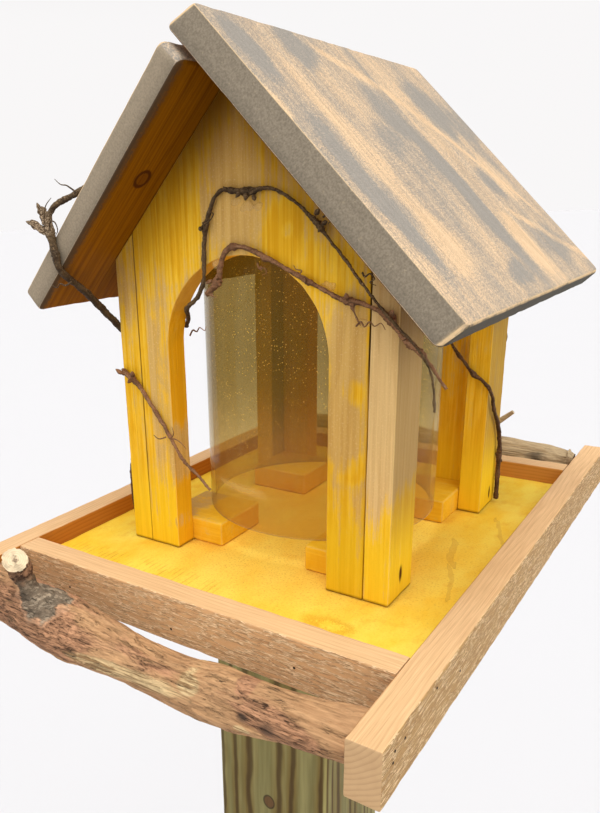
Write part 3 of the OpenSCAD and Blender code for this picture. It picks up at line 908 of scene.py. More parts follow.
@dataclass(frozen=True)
class DustyGlass:
    """Clear glass with a film of dust, bright specks and grey rims."""

    axis: Vector
    low: float
    high: float
    skin: tuple[float, float] = (73.2, 73.8)
    film: float = 0.45
    ior: float = 1.46
    through: Colour = (0.880, 0.812, 0.620, 1.0)

    def material(self, name: str) -> bpy.types.Material:
        """Builds the glass.

        Args:
            name: Name of the material.

        Returns:
            The material.
        """
        graph = Graph.named(name)
        x, y, z = graph.world()
        cloud = graph.noise((x * 0.03, y * 0.03, z * 0.018), 3.0)
        band = graph.noise((x * 0.06, y * 0.06, z * 0.005), 3.0)
        clump = graph.noise((x * 0.2, y * 0.2, z * 0.2 + 4.0), 2.0).step(0.3, 0.52)
        cells = graph.cells((x * 0.65, y * 0.65, z * 0.65))
        specks = cells.fade(0.08, 0.2) * cloud.step(0.3, 0.52) * clump
        above = z - self.low / MM
        rim = above.fade(0.6, 1.6) + (z - self.high / MM).step(-1.6, -0.6)
        glance = graph.node("Fresnel", None, {"IOR": self.ior})
        edge = glance * (1.0 - graph.node("NewGeometry", out="Backfacing"))
        outer = graph.away(self.axis, Vector((1.0, 1.0, 0.0))).step(*self.skin)
        # Pale dust ring about 16 mm up the outer skin, which also paints in the far rim's reflection.
        dust_ring_and_sheen = (above - cloud * 18.0).band(16.0, 0.6, 4.0) * outer * cloud.step(0.4, 0.55)
        lifted = above.step(15.0, 95.0)
        base = graph.mix(lifted, tint(196, 164, 104), tint(112, 92, 30))
        base = graph.mix(dust_ring_and_sheen, base, tint(236, 206, 140))
        base = graph.mix(specks, base, tint(250, 208, 104))
        base = graph.mix(rim, base, tint(186, 180, 152))
        coat = graph.surface(base, 0.06, None, IOR=self.ior)
        clear = graph.node("BsdfTransparent", None, {"Color": self.through})
        film = (band * 0.9 + 0.55) * (lifted * 0.68 + 0.32) * outer * self.film
        share = film + specks * 0.32 + dust_ring_and_sheen * 0.15 + rim * 0.06 + edge * 0.5
        return graph.done(graph.node("MixShader", None, {0: share.least(1.0), 1: clear, 2: coat}))


@dataclass(frozen=True)
class PlainFinish:
    """One mottled colour, for nail heads and the stage."""

    light: Colour
    dark: Colour
    grain_mm: float
    rough: float

    def material(self, name: str) -> bpy.types.Material:
        """Builds the mottled material.

        Args:
            name: Name of the material.

        Returns:
            The material.
        """
        graph = Graph.named(name)
        x, y, z = graph.world()
        step = 1.0 / self.grain_mm
        mottle = graph.noise((x * step, y * step, z * step), 2.0)
        return graph.done(graph.surface(graph.mix(mottle, self.light, self.dark), self.rough))


@dataclass(frozen=True)
class ClearGlue:
    """Clear, glossy glue."""

    clear: float = 0.8
    gloss: Colour = tint(255, 226, 150)
    through: Colour = (0.95, 0.92, 0.84, 1.0)

    def material(self, name: str) -> bpy.types.Material:
        """Builds the glue's material.

        Args:
            name: Name of the material.

        Returns:
            The material.
        """
        graph = Graph.named(name)
        gloss = graph.surface(self.gloss, 0.12, None, Specular_IOR_Level=0.6)
        through = graph.node("BsdfTransparent", None, {"Color": self.through})
        return graph.done(graph.node("MixShader", None, {0: 1.0 - self.clear, 1: through, 2: gloss}))


class Shape:
    """A mesh under construction, shaped with bmesh operators."""

    def __init__(self) -> None:
        """Starts an empty mesh."""
        self.bm = bmesh.new()
        self.layers: dict[str, Callable[[Vector], float]] = {}

    @classmethod
    def copy_of(cls, node: str, nodes: dict) -> "Shape":
        """Copies a CAD node and merges its triangles into whole faces.

        Args:
            node: Name of the node.
            nodes: The CAD nodes.

        Returns:
            The new shape.
        """
        shape = cls()
        shape.bm.from_mesh(nodes[node].data)
        bmesh.ops.remove_doubles(shape.bm, verts=shape.bm.verts[:], dist=MERGE)
        flat = math.radians(0.5)
        verts, edges = shape.bm.verts[:], shape.bm.edges[:]
        bmesh.ops.dissolve_limit(shape.bm, angle_limit=flat, verts=verts, edges=edges)
        return shape

    def sharp(self, degrees: float) -> list[bmesh.types.BMEdge]:
        """Edges whose faces meet at more than an angle."""
        limit = math.radians(degrees)
        return [e for e in self.bm.edges if e.is_manifold and e.calc_face_angle(0.0) > limit]

    def ease(self, radius: float, segments: int = 3, degrees: float = 30.0) -> None:
        """Rounds the sharp edges.

        Args:
            radius: Radius of the rounding in metres.
            segments: Faces across the rounding.
            degrees: Least angle between the faces of a sharp edge.
        """
        bmesh.ops.bevel(
            self.bm, geom=self.sharp(degrees), offset=radius, offset_type="OFFSET", affect="EDGES",
            segments=segments, profile=0.5, material=-1, clamp_overlap=True,
        )

    def arris_tree(self, degrees: float, step: float = 0.0012) -> kdtree.KDTree:
        """Points along the sharp edges.

        Args:
            degrees: Least angle between the faces of a sharp edge.
            step: Distance between points in metres.

        Returns:
            A balanced tree of the points.
        """
        points = []
        for edge in self.sharp(degrees):
            start, end = edge.verts[0].co, edge.verts[1].co
            count = max(1, int((end - start).length / step))
            points += [start.lerp(end, i / count) for i in range(count + 1)]
        tree = kdtree.KDTree(len(points))
        for i, point in enumerate(points):
            tree.insert(point, i)
        tree.balance()
        return tree

    def slice(self, axis: Vector, pitch: float) -> None:
        """Cuts the mesh into strips.

        Args:
            axis: Direction square to the cuts.
            pitch: Width of a strip in metres.
        """
        lengths = [v.co.dot(axis) for v in self.bm.verts]
        low, high = min(lengths), max(lengths)
        count = int((high - low) / pitch)
        for i in range(1, count):
            geom = self.bm.verts[:] + self.bm.edges[:] + self.bm.faces[:]
            at = axis * (low + (high - low) * i / count)
            bmesh.ops.bisect_plane(self.bm, geom=geom, dist=CUT, plane_co=at, plane_no=axis)

    def relief(self, height: Callable[[Vector, Vector], float]) -> None:
        """Moves each point along its normal.

        Args:
            height: Height in metres from a point and its normal.
        """
        self.bm.normal_update()
        moves = [(v, v.normal * height(v.co, v.normal)) for v in self.bm.verts]
        for vert, move in moves:
            vert.co += move

    def tube(self, route: Sequence[Vector], radii: Sequence[float], sides: int = 6) -> None:
        """Draws a closed tube by extruding a ring along a route.

        Args:
            route: Points in metres.
            radii: Radius in metres at each point.
            sides: Sides of the tube.
        """
        frames = list(tube_frames(route, radii))
        ring = bmesh.ops.create_circle(self.bm, cap_ends=True, segments=sides, radius=1.0, matrix=frames[0])
        edges = list(dict.fromkeys(e for v in ring["verts"] for e in v.link_edges))
        for before, after in zip(frames, frames[1:]):
            made = bmesh.ops.extrude_edge_only(self.bm, edges=edges)["geom"]
            verts = [g for g in made if isinstance(g, bmesh.types.BMVert)]
            fresh = set(verts)
            edges = [g for g in made if isinstance(g, bmesh.types.BMEdge) and set(g.verts) <= fresh]
            bmesh.ops.transform(self.bm, matrix=after @ before.inverted(), verts=verts)
        bmesh.ops.contextual_create(self.bm, geom=edges)

    def bud(self, at: Vector, towards: Vector, length: float, width: float) -> None:
        """Adds a pointed bud.

        Args:
            at: Its middle.
            towards: Direction of its point.
            length: Its length in metres.
            width: Its width in metres.
        """
        turn = towards.normalized().to_track_quat("Z", "Y").to_matrix().to_4x4()
        size = Matrix.Diagonal((width, width, length, 1.0))
        sphere = {"u_segments": 8, "v_segments": 6, "radius": 0.5, "matrix": Matrix()}
        ball = bmesh.ops.create_uvsphere(self.bm, **sphere)["verts"]
        pointed = 1.1
        for vert in ball:
            taper = 1.0 - max(0.0, vert.co.z) * pointed
            vert.co.x *= taper
            vert.co.y *= taper
        bmesh.ops.transform(self.bm, matrix=Matrix.Translation(at) @ turn @ size, verts=ball)

    def finish(
        self, name: str, material: bpy.types.Material, slot: str, smooth: float = 35.0,
    ) -> bpy.types.Object:
        """Makes the mesh an object of the scene that rides on the part.

        Args:
            name: Name of the piece.
            material: Its finish.
            slot: Name of a material slot, which is not used.
            smooth: Angle in degrees above which an edge stays sharp.

        Returns:
            The piece.
        """
        bmesh.ops.recalc_face_normals(self.bm, faces=self.bm.faces[:])
        mesh = bpy.data.meshes.new(name)
        self.bm.to_mesh(mesh)
        self.bm.free()
        for label, read in self.layers.items():
            attribute = mesh.attributes.new(label, "FLOAT", "POINT")
            attribute.data.foreach_set("value", [read(v.co) for v in mesh.vertices])
        mesh.shade_smooth()
        mesh.set_sharp_from_angle(angle=math.radians(smooth))
        mesh.materials.append(material)
        piece = put(name, mesh)
        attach(piece, BODY)
        LOG.info("%s: %d faces", name, len(mesh.polygons))
        return piece


def tube_frames(route: Sequence[Vector], radii: Sequence[float]) -> Iterable[Matrix]:
    """Frames along a route that don't twist.

    Args:
        route: Points in metres.
        radii: Radius at each point, which scales its frame.

    Returns:
        One matrix for each point.
    """
    side = Vector((0.3, 0.5, 0.8))  # any direction that no route follows
    for i, point in enumerate(route):
        ahead = (route[min(i + 1, len(route) - 1)] - route[max(i - 1, 0)]).normalized()
        side = (side - ahead * side.dot(ahead)).normalized()
        other = ahead.cross(side)
        turn = Matrix((side, other, ahead)).transposed().to_4x4()
        yield Matrix.Translation(point) @ turn @ Matrix.Diagonal((radii[i], radii[i], radii[i], 1.0))


def remeshed(node: str, nodes: dict, voxel: float) -> Shape:
    """Copy of a CAD node rebuilt as an even skin.

    Args:
        node: Name of the node.
        nodes: The CAD nodes.
        voxel: Size of a face in metres.

    Returns:
        The new shape.
    """
    copy = put("even_skin", nodes[node].data.copy())
    merge = copy.modifiers.new("merge", "WELD")
    merge.merge_threshold = MERGE
    skin = copy.modifiers.new("skin", "REMESH")
    skin.mode = "VOXEL"
    skin.voxel_size = voxel
    graph = bpy.context.evaluated_depsgraph_get()
    mesh = bpy.data.meshes.new_from_object(copy.evaluated_get(graph))
    shape = Shape()
    shape.bm.from_mesh(mesh)
    bpy.data.objects.remove(copy)
    bpy.data.meshes.remove(mesh)
    return shape


def waves(point: Vector, along: Vector, size: float, stretch: float, seed: float) -> float:
    """Noise from -1 to 1 drawn out along a direction.

    Args:
        point: Place in metres.
        along: Direction of the grain.
        size: Width of a feature in metres.
        stretch: Length of a feature in widths.
        seed: Shift of the noise.

    Returns:
        The noise.
    """
    run = point.dot(along)
    spot = (point - along * run) / size + along * (run / (size * stretch))
    return noise.noise(spot + Vector((seed, seed * 1.7, seed * 0.6)))


class Sawing(Enum):
    """Depth in metres of the relief that a saw or the weather left."""

    PLANED = 0.00010
    SAWN = 0.00012
    WEATHERED = 0.00016


@dataclass
class Board:
    """One board of the feeder with eased, worn arrises."""

    node: str
    grain: Grain
    slot: str
    sawing: Sawing
    ease: float = 0.0009
    pitch: tuple[float, float, float] = (0.007, 0.006, 0.006)
    seed: float = 0.0
    rough_side: Vector | None = None
    arris_angle: float = 25.0
    arris_reach: float = 0.0022
    lean: float = 0.0
    end_reach: float = 0.02
    dent: float = 0.0006
    least_rough: float = 0.15

    def lean_end(self, shape: Shape) -> None:
        """Leans the front end's top edge towards the back.

        Args:
            shape: The board before its edges are eased.
        """
        front = min(v.co.y for v in shape.bm.verts) + self.end_reach
        heights = {v: v.co.dot(self.grain.thick) for v in shape.bm.verts}
        low, high = min(heights.values()), max(heights.values())
        for vert, height in heights.items():
            if vert.co.y < front:
                vert.co.y += self.lean * (height - low) / (high - low)

    def build(self, nodes: dict, material: bpy.types.Material) -> bpy.types.Object:
        """Builds the board over its CAD node.

        Args:
            nodes: The CAD nodes.
            material: Its finish.

        Returns:
            The piece.
        """
        shape = Shape.copy_of(self.node, nodes)
        if self.lean:
            self.lean_end(shape)
        tree = shape.arris_tree(self.arris_angle)
        if self.ease:
            shape.ease(self.ease)
        for axis, pitch in zip((self.grain.along, self.grain.across, self.grain.thick), self.pitch):
            shape.slice(axis, pitch)
        along, depth, seed = self.grain.along, self.sawing.value, self.seed

        def height(point: Vector, normal: Vector) -> float:
            """Relief of the face, with dents at the arrises.

            Args:
                point: Place in metres.
                normal: Direction that the face looks in.

            Returns:
                The height in metres.
            """
            coarse = waves(point, along, 0.004, 7.0, seed)
            fine = waves(point, along, 0.0016, 5.0, seed + 9.0)
            near = max(0.0, 1.0 - tree.find(point)[2] / self.arris_reach)
            dent = max(0.0, waves(point, along, 0.006, 2.0, seed + 4.0)) * near
            rough = 1.0 if self.rough_side is None else max(self.least_rough, normal.dot(self.rough_side))
            return rough * depth * (coarse * 0.6 + fine * 0.4 - 0.5) - dent * self.dent

        shape.relief(height)
        piece = shape.finish(self.node + "_board", material, self.slot)
        even = piece.modifiers.new("even_faces", "WEIGHTED_NORMAL")
        even.keep_sharp = True
        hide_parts(self.node)
        return piece


@dataclass
class MountingPost:
    """The treated post under the tray."""

    knot: Vector
    stripes: tuple[tuple[float, float], ...]
    pitch: tuple[float, float, float] = (0.02, 0.006, 0.006)

    def build(self, nodes: dict) -> None:
        """Builds and dresses the post.

        Args:
            nodes: The CAD nodes.
        """
        grain = Grain.of("mounting_post", UP, RIGHT)
        finish = TreatedPine(grain, self.knot, self.stripes).material("treated_pine")
        board = Board(
            "mounting_post", grain, "treated_wood", Sawing.PLANED, ease=0.0, pitch=self.pitch,
            arris_angle=4.0,
        )
        board.build(nodes, finish)


@dataclass
class Tray:
    """Floor board and the four rails."""

    nails: tuple[tuple[Vector, Vector], ...]
    ring_mark: tuple[float, float]
    runs: tuple[Zone, ...]
    pitch: tuple[float, float, float] = (0.0032, 0.003, 0.002)
    nail_r: float = 0.0007
    nail_proud: float = 0.00022
    warm_face: Pair = (tint(226, 177, 125), tint(196, 148, 100))
    dull_face: Pair = (tint(194, 154, 98), tint(154, 118, 70))
    oiled: Pair = (tint(190, 122, 46), tint(156, 92, 26))
    oiled_pale: Pair = (tint(208, 146, 70), tint(178, 118, 50))

    def build(self, nodes: dict) -> None:
        """Builds and dresses the tray.

        Args:
            nodes: The CAD nodes.
        """
        grain = Grain.of("tray_floor", BACK, RIGHT)
        finish = FloorStain(grain, self.ring_mark, self.runs).material("floor_stain")
        Board("tray_floor", grain, "yellow_wood", Sawing.PLANED, ease=0.0005).build(nodes, finish)
        rails = {
            "front_rail": (RIGHT, -BACK), "back_rail": (-RIGHT, BACK),
            "left_rail": (-BACK, -RIGHT), "right_rail": (BACK, RIGHT),
        }
        for i, (node, (along, outward)) in enumerate(rails.items()):
            grain = Grain.of(node, along, outward)
            front = node == "front_rail"
            face = self.warm_face if front else self.dull_face
            oiled = self.oiled_pale if node == "back_rail" else self.oiled
            sawn = 1.0 if front else 0.9
            cedar = Cedar(grain, seed=1.7 + 2.3 * i, sawn=sawn, outer=face, inner=oiled)
            Board(
                node, grain, "rail_wood", Sawing.SAWN, ease=0.0006, pitch=self.pitch, seed=2.0 + i,
                rough_side=outward, arris_angle=4.0,
            ).build(nodes, cedar.material(node + "_cedar"))
        self.drive_nails()

    def drive_nails(self) -> None:
        """Sets the small nail heads in the rails."""
        shape = Shape()
        for at, outward in self.nails:
            turn = outward.to_track_quat("Z", "Y").to_matrix().to_4x4()
            circle = {"cap_ends": True, "segments": 12, "radius": self.nail_r, "matrix": Matrix()}
            ring = bmesh.ops.create_circle(shape.bm, **circle)["verts"]
            face = [f for f in shape.bm.faces if f.verts[0] in ring]
            made = bmesh.ops.extrude_face_region(shape.bm, geom=face)["geom"]
            top = [g for g in made if isinstance(g, bmesh.types.BMVert)]
            bmesh.ops.translate(shape.bm, verts=top, vec=UP * self.nail_proud)
            bmesh.ops.scale(shape.bm, verts=top, vec=(0.75, 0.75, 1.0))
            bmesh.ops.transform(shape.bm, matrix=Matrix.Translation(at) @ turn, verts=list(ring) + top)
        rust = PlainFinish(tint(60, 36, 22), tint(28, 16, 10), grain_mm=0.6, rough=0.7)
        shape.finish("rail_nails", rust.material("rusty_nail"), "rail_wood")


@dataclass
class Stub:
    """The sawn side branch of a perch, with its measures in metres."""

    root: Vector
    outward: Vector
    length: float
    swell: float
    face: Vector
    plain_r: float = 0.0115
    neck: float = 0.012
    neck_run: float = 0.009
    drawn: float = 0.006
    cut_reach: float = 0.017
    husk_r: float = 0.016
    husk_start: float = 0.017
    husk_run: float = 0.004
    face_r: float = 0.015
    face_gap: float = 0.00012

    @property
    def middle(self) -> Vector:
        """Middle of the sawn end."""
        return self.root + self.outward * self.length

    def thicken(self, shape: Shape) -> None:
        """Swells the plain stub and draws it out.

        Args:
            shape: The branch.
        """
        for vert in shape.bm.verts:
            shift = vert.co - self.root
            run = shift.dot(self.outward)
            aside = shift - self.outward * run
            if aside.length < self.plain_r and run > self.neck:
                ease = min(1.0, (run - self.neck) / self.neck_run)
                vert.co += aside * (self.swell * ease) + self.outward * (self.drawn * ease)

    def saw(self, shape: Shape) -> None:
        """Cuts the stub's end off aslant and closes it.

        Args:
            shape: The branch.
        """
        faces = shape.bm.faces
        near = [f for f in faces if (f.calc_center_median() - self.middle).length < self.cut_reach]
        edges = list(dict.fromkeys(e for f in near for e in f.edges))
        verts = list(dict.fromkeys(v for f in near for v in f.verts))
        plane = {"plane_co": self.middle, "plane_no": self.face, "clear_outer": True}
        cut = bmesh.ops.bisect_plane(shape.bm, geom=verts + edges + near, dist=CUT, **plane)["geom_cut"]
        rim = [g for g in cut if isinstance(g, bmesh.types.BMEdge)]
        bmesh.ops.contextual_create(shape.bm, geom=rim)

    def husk(self, point: Vector) -> float:
        """Share of brown bark.

        Args:
            point: Place in metres.

        Returns:
            1 near the sawn end and 0 elsewhere.
        """
        shift = point - self.root
        run = shift.dot(self.outward)
        if (shift - self.outward * run).length >= self.husk_r:
            return 0.0
        ragged = 0.8 * noise.noise(point / 0.004)
        return max(0.0, min(1.0, (run - self.husk_start) / self.husk_run + ragged))

    def share(self, point: Vector) -> float:
        """1 on the sawn end and 0 elsewhere."""
        shift = point - self.middle
        return float(abs(shift.dot(self.face)) < self.face_gap and shift.length < self.face_r)


@dataclass
class Perch:
    """A branch with fibres, bark strips and a grey collar."""

    node: str
    seed: float
    voxel: float = 0.0009
    collar: tuple[Vector, float] | None = None
    stub: Stub | None = None
    smudges: tuple[tuple[Vector, float], ...] = ()
    rusty: tuple[Zone, ...] = ()
    straws: tuple[Zone, ...] = ()
    bare: Pair = Bark.bare
    splinters: tuple[float, ...] = ()
    twigs: tuple[tuple[Vector, Vector, float], ...] = ()
    taper: float = 0.0
    taper_start: float = on_tray(96.0, 0.0, 0.0).x
    taper_run: float = 0.03
    strand_depth: float = 0.0004
    crack_depth: float = 0.0006
    strip_depth: float = 0.0007
    knob_depth: float = 0.0008
    collar_depth: float = 0.0008
    splinter_r: tuple[float, float, float] = (0.0006, 0.0004, 0.00008)

    def build(self, nodes: dict) -> None:
        """Builds and dresses the branch.

        Args:
            nodes: The CAD nodes.
        """
        stub = self.stub
        shape = remeshed(self.node, nodes, self.voxel)
        if stub is not None:
            stub.thicken(shape)
        shape.relief(self.height)
        if stub is not None:
            stub.saw(shape)
        for place in self.splinters:
            self.split(shape, place)
        for foot, tip, radius in self.twigs:
            bow = foot.lerp(tip, 0.55) + UP * 0.0012
            shape.tube((foot, bow, tip), (radius, radius * 0.9, radius * 0.6), sides=8)
        shape.layers["collar"] = self.collared
        shape.layers["cut"] = stub.share if stub is not None else self.plain
        shape.layers["husk"] = stub.husk if stub is not None else self.plain
        middle = stub.middle if stub is not None else None
        grain = Grain.of(self.node, RIGHT, BACK)
        bark = Bark(grain, self.seed, self.smudges, middle, self.rusty, self.straws, self.bare)
        finish = bark.material(self.node + "_bark")
        piece = shape.finish(self.node + "_branch", finish, "branch_wood", smooth=60.0)
        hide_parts(self.node)

    def height(self, point: Vector, normal: Vector) -> float:
        """Strands, cracks, strips of bark and knobs.

        Args:
            point: Place in metres.
            normal: Direction of the skin, which makes no difference here.

        Returns:
            The height in metres.
        """
        strands = waves(point, RIGHT, 0.0019, 9.0, self.seed)
        crack = max(0.0, 1.0 - abs(waves(point, RIGHT, 0.0036, 9.0, self.seed + 7.0)) * 9.0)
        strips = waves(point, RIGHT, 0.009, 4.0, self.seed + 5.0)
        bark = self.strip_depth * max(0.0, min(1.0, strips * 6.0 - 0.6))
        knobs = self.knob_depth * waves(point, RIGHT, 0.018, 2.0, self.seed + 2.0)
        rough = self.collar_depth * self.collared(point) * (1.0 + noise.noise(point / 0.0035))
        slim = 0.0006 + 0.0009 * min(1.0, max(0.0, point.x / 0.05 + 0.6))
        near_end = min(1.0, max(0.0, (point.x - self.taper_start) / self.taper_run))
        slim += self.taper * near_end * near_end
        return self.strand_depth * strands - self.crack_depth * crack + bark + knobs + rough - slim

    def split(self, shape: Shape, place: float) -> None:
        """Raises a splinter from the branch's top.

        Args:
            shape: The branch.
            place: Its x in millimetres from the middle of the tray.
        """
        x = on_tray(place, 0.0, 0.0).x
        near = (v.co for v in shape.bm.verts if abs(v.co.x - x) < MM)
        top = max(near, key=lambda spot: spot.z).copy()
        length = 0.0035 + 0.0015 * math.cos(place * 1.7)
        lean = Vector((-0.5 - 0.3 * math.sin(place), -0.25, 0.8)) * length
        shape.tube((top - lean * 0.3, top + lean * 0.5, top + lean), self.splinter_r, sides=5)

    def collared(self, point: Vector) -> float:
        """Share of grey bark.

        Args:
            point: Place in metres.

        Returns:
            1 in the middle of the collar and 0 away from it.
        """
        if self.collar is None:
            return 0.0
        centre, reach = self.collar
        far = (point - centre).length / reach + 0.3 * noise.noise(point / 0.007)
        return max(0.0, min(1.0, (1.0 - far) * 2.2))

    def plain(self, point: Vector) -> float:
        """No sawn end anywhere."""
        return 0.0


@dataclass
class House:
    """End walls, corner posts and seat blocks."""

    scars: dict[str, tuple[tuple[Vector, Vector], ...]]
    zones: dict[str, tuple[Zone, ...]]
    cover: dict[str, float]
    painted_shades: dict[str, tuple[Zone, ...]]
    plain_cover: float = 0.55
    block_cover: float = 0.85
    weathered: Pair = (tint(232, 198, 136), tint(184, 142, 80))

    def build(self, nodes: dict) -> None:
        """Builds and dresses the boards of the house.

        Args:
            nodes: The CAD nodes.
        """
        walls = ("front_wall", "back_wall")
        corners = ("front_left", "front_right", "back_left", "back_right")
        posts = tuple(corner + "_post" for corner in corners)
        for i, node in enumerate(walls + posts):
            grain = Grain.of(node, UP, RIGHT)
            wall = node in walls
            finish = YellowStain(
                grain, cover=self.cover.get(node, self.plain_cover), seed=1.9 * i + 0.4, foot=0.5,
                zones=self.zones.get(node, ()), marks=self.scars.get(node, ()), joint=1.0,
                reveal=0.6 if wall else 0.0, painted_side_shade=0.0 if wall else 0.6, painted_shades=self.painted_shades.get(node, ()),
                wood=self.weathered if node == "front_right_post" else YellowStain.wood,
            ).material(node + "_stain")
            Board(node, grain, "yellow_wood", Sawing.PLANED, seed=3.1 * i).build(nodes, finish)
        for i, corner in enumerate(corners):
            node = corner + "_block"
            grain = Grain.of(node, RIGHT, BACK)
            finish = YellowStain(
                grain, cover=self.block_cover, seed=11.0 + 2.7 * i, zones=self.zones.get(node, ()),
                lines=0.12, figure=0.35,
            ).material(node + "_stain")
            Board(node, grain, "yellow_wood", Sawing.PLANED, ease=0.0016, seed=7.0 + i).build(nodes, finish)


@dataclass
class SeedTube:
    """The open glass cylinder on the seat blocks."""

    outer_r: float = 0.075
    wall: float = 0.003
    lip: float = 0.0007
    steps: int = 128

    def build(self) -> None:
        """Turns the tube with fire-polished rims."""
        low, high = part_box("seed_tube")
        shape = Shape()
        middle = Vector(((low.x + high.x) / 2, (low.y + high.y) / 2, 0.0))
        inner_r = self.outer_r - self.wall
        corners = [(inner_r, low.z), (self.outer_r, low.z), (self.outer_r, high.z), (inner_r, high.z)]
        verts = [shape.bm.verts.new(middle + Vector((r, 0.0, z))) for r, z in corners]
        for i in range(4):
            shape.bm.edges.new((verts[i], verts[(i + 1) % 4]))
        bmesh.ops.bevel(
            shape.bm, geom=verts, offset=self.lip, offset_type="OFFSET", affect="VERTICES", segments=4,
            profile=0.5, material=-1,
        )
        geom = shape.bm.verts[:] + shape.bm.edges[:]
        bmesh.ops.spin(
            shape.bm, geom=geom, cent=middle, axis=UP, angle=math.tau, steps=self.steps, use_merge=True,
            use_duplicate=False,
        )
        bmesh.ops.remove_doubles(shape.bm, verts=shape.bm.verts[:], dist=MERGE)
        finish = DustyGlass(middle, low.z, high.z).material("dusty_glass")
        piece = shape.finish("seed_tube_glass", finish, "tube_glass", smooth=50.0)
        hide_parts("seed_tube")


@dataclass
class Roof:
    """The two lapped roof boards."""

    wash: tuple[Zone, ...]
    sweeps: tuple[Sweep, ...]
    lane: tuple[float, float]
    knot: Vector
    lean: float = 0.007
    thick: float = 0.014
    pitch: tuple[float, float, float] = (0.006, 0.006, 0.005)
    left_end: Pair = (tint(164, 149, 127), tint(132, 119, 99))
    right_end: Pair = (tint(142, 130, 112), tint(96, 87, 73))

    def build(self, nodes: dict) -> None:
        """Builds and dresses the roof boards.

        Args:
            nodes: The CAD nodes.
        """
        c, s = math.cos(ROOF_SLOPE), math.sin(ROOF_SLOPE)
        for i, (side, sign) in enumerate((("left", -1.0), ("right", 1.0))):
            node = side + "_roof_board"
            down = Vector((sign * c, 0.0, -s))
            outward = Vector((sign * s, 0.0, c))
            grain = Grain.of(node, down, outward.cross(down))
            lean = self.lean if side == "right" else 0.0
            face = (outward * lean - BACK * self.thick).normalized()
            seed = 2.0 + 5.3 * i
            if side == "right":
                paint = RoofPaint(grain, self.right_end, seed, face, self.wash, self.sweeps, self.lane)
            else:
                paint = RoofPaint(grain, self.left_end, seed, face, knot=self.knot)
            Board(
                node, grain, "roof_wood", Sawing.WEATHERED, ease=0.0016, pitch=self.pitch, seed=5.0 * i,
                arris_angle=4.0, lean=lean,
            ).build(nodes, paint.material(side + "_roof_paint"))


@dataclass
class Vine:
    """One dried stem with knots, buds and curled tendrils.

    Places are in millimetres from the middle of the tray floor's top.
    """

    node: str
    skin: VineSkin
    slim: float = 0.0003
    knots: tuple[tuple[Spot, float], ...] = ()
    buds: tuple[tuple[Spot, Spot, float], ...] = ()
    tendrils: tuple[tuple[Spot, ...], ...] = ()
    voxel: float = 0.0005
    fine_flake: float = 0.00035
    broad_flake: float = 0.00045
    knot_height: float = 0.4
    bud_width: float = 0.55
    root_r: float = 0.00055
    tip_r: float = 0.00017
    curl_steps: int = 5

    def build(self, nodes: dict) -> None:
        """Builds and dresses the stem.

        Args:
            nodes: The CAD nodes.
        """
        shape = remeshed(self.node, nodes, self.voxel)
        swells = [(on_tray(*at), size * MM) for at, size in self.knots]

        def height(point: Vector, normal: Vector) -> float:
            """Flaking skin and swollen knots.

            Args:
                point: Place in metres.
                normal: Direction of the skin, which makes no difference here.

            Returns:
                The height in metres.
            """
            flake = self.fine_flake * noise.noise(point / 0.0016)
            flake += self.broad_flake * noise.noise(point / 0.005)
            near = ((size, (point - at).length / size) for at, size in swells)
            knot = sum(size * self.knot_height * math.exp(-far ** 2) for size, far in near)
            return flake + knot * (1.0 + 0.8 * noise.noise(point / 0.0011)) - self.slim

        shape.relief(height)
        for at, towards, length in self.buds:
            shape.bud(on_tray(*at), Vector(towards), length * MM, length * self.bud_width * MM)
        for route in self.tendrils:
            self.curl(shape, [on_tray(*spot) for spot in route])
        skin = self.skin.material(self.node + "_skin")
        piece = shape.finish(self.node + "_stem", skin, "vine_wood", smooth=60.0)
        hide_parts(self.node)

    def curl(self, shape: Shape, marks: Sequence[Vector]) -> None:
        """Draws a thin tendril smoothly through its marks.

        Args:
            shape: The stem that it grows from.
            marks: Places in metres.
        """
        route = []
        for i in range(len(marks) - 1):
            before, start = marks[max(i - 1, 0)], marks[i]
            end, after = marks[i + 1], marks[min(i + 2, len(marks) - 1)]
            for j in range(self.curl_steps):
                t = j / self.curl_steps
                pull = (end - before) * (t * (1 - t) ** 2 * 0.5) - (after - start) * (t * t * (1 - t) * 0.5)
                route.append(start.lerp(end, t * t * (3 - 2 * t)) + pull)
        route.append(marks[-1])
        thin = self.root_r - self.tip_r
        radii = [self.root_r - thin * i / (len(route) - 1) for i in range(len(route))]
        shape.tube(route, radii)


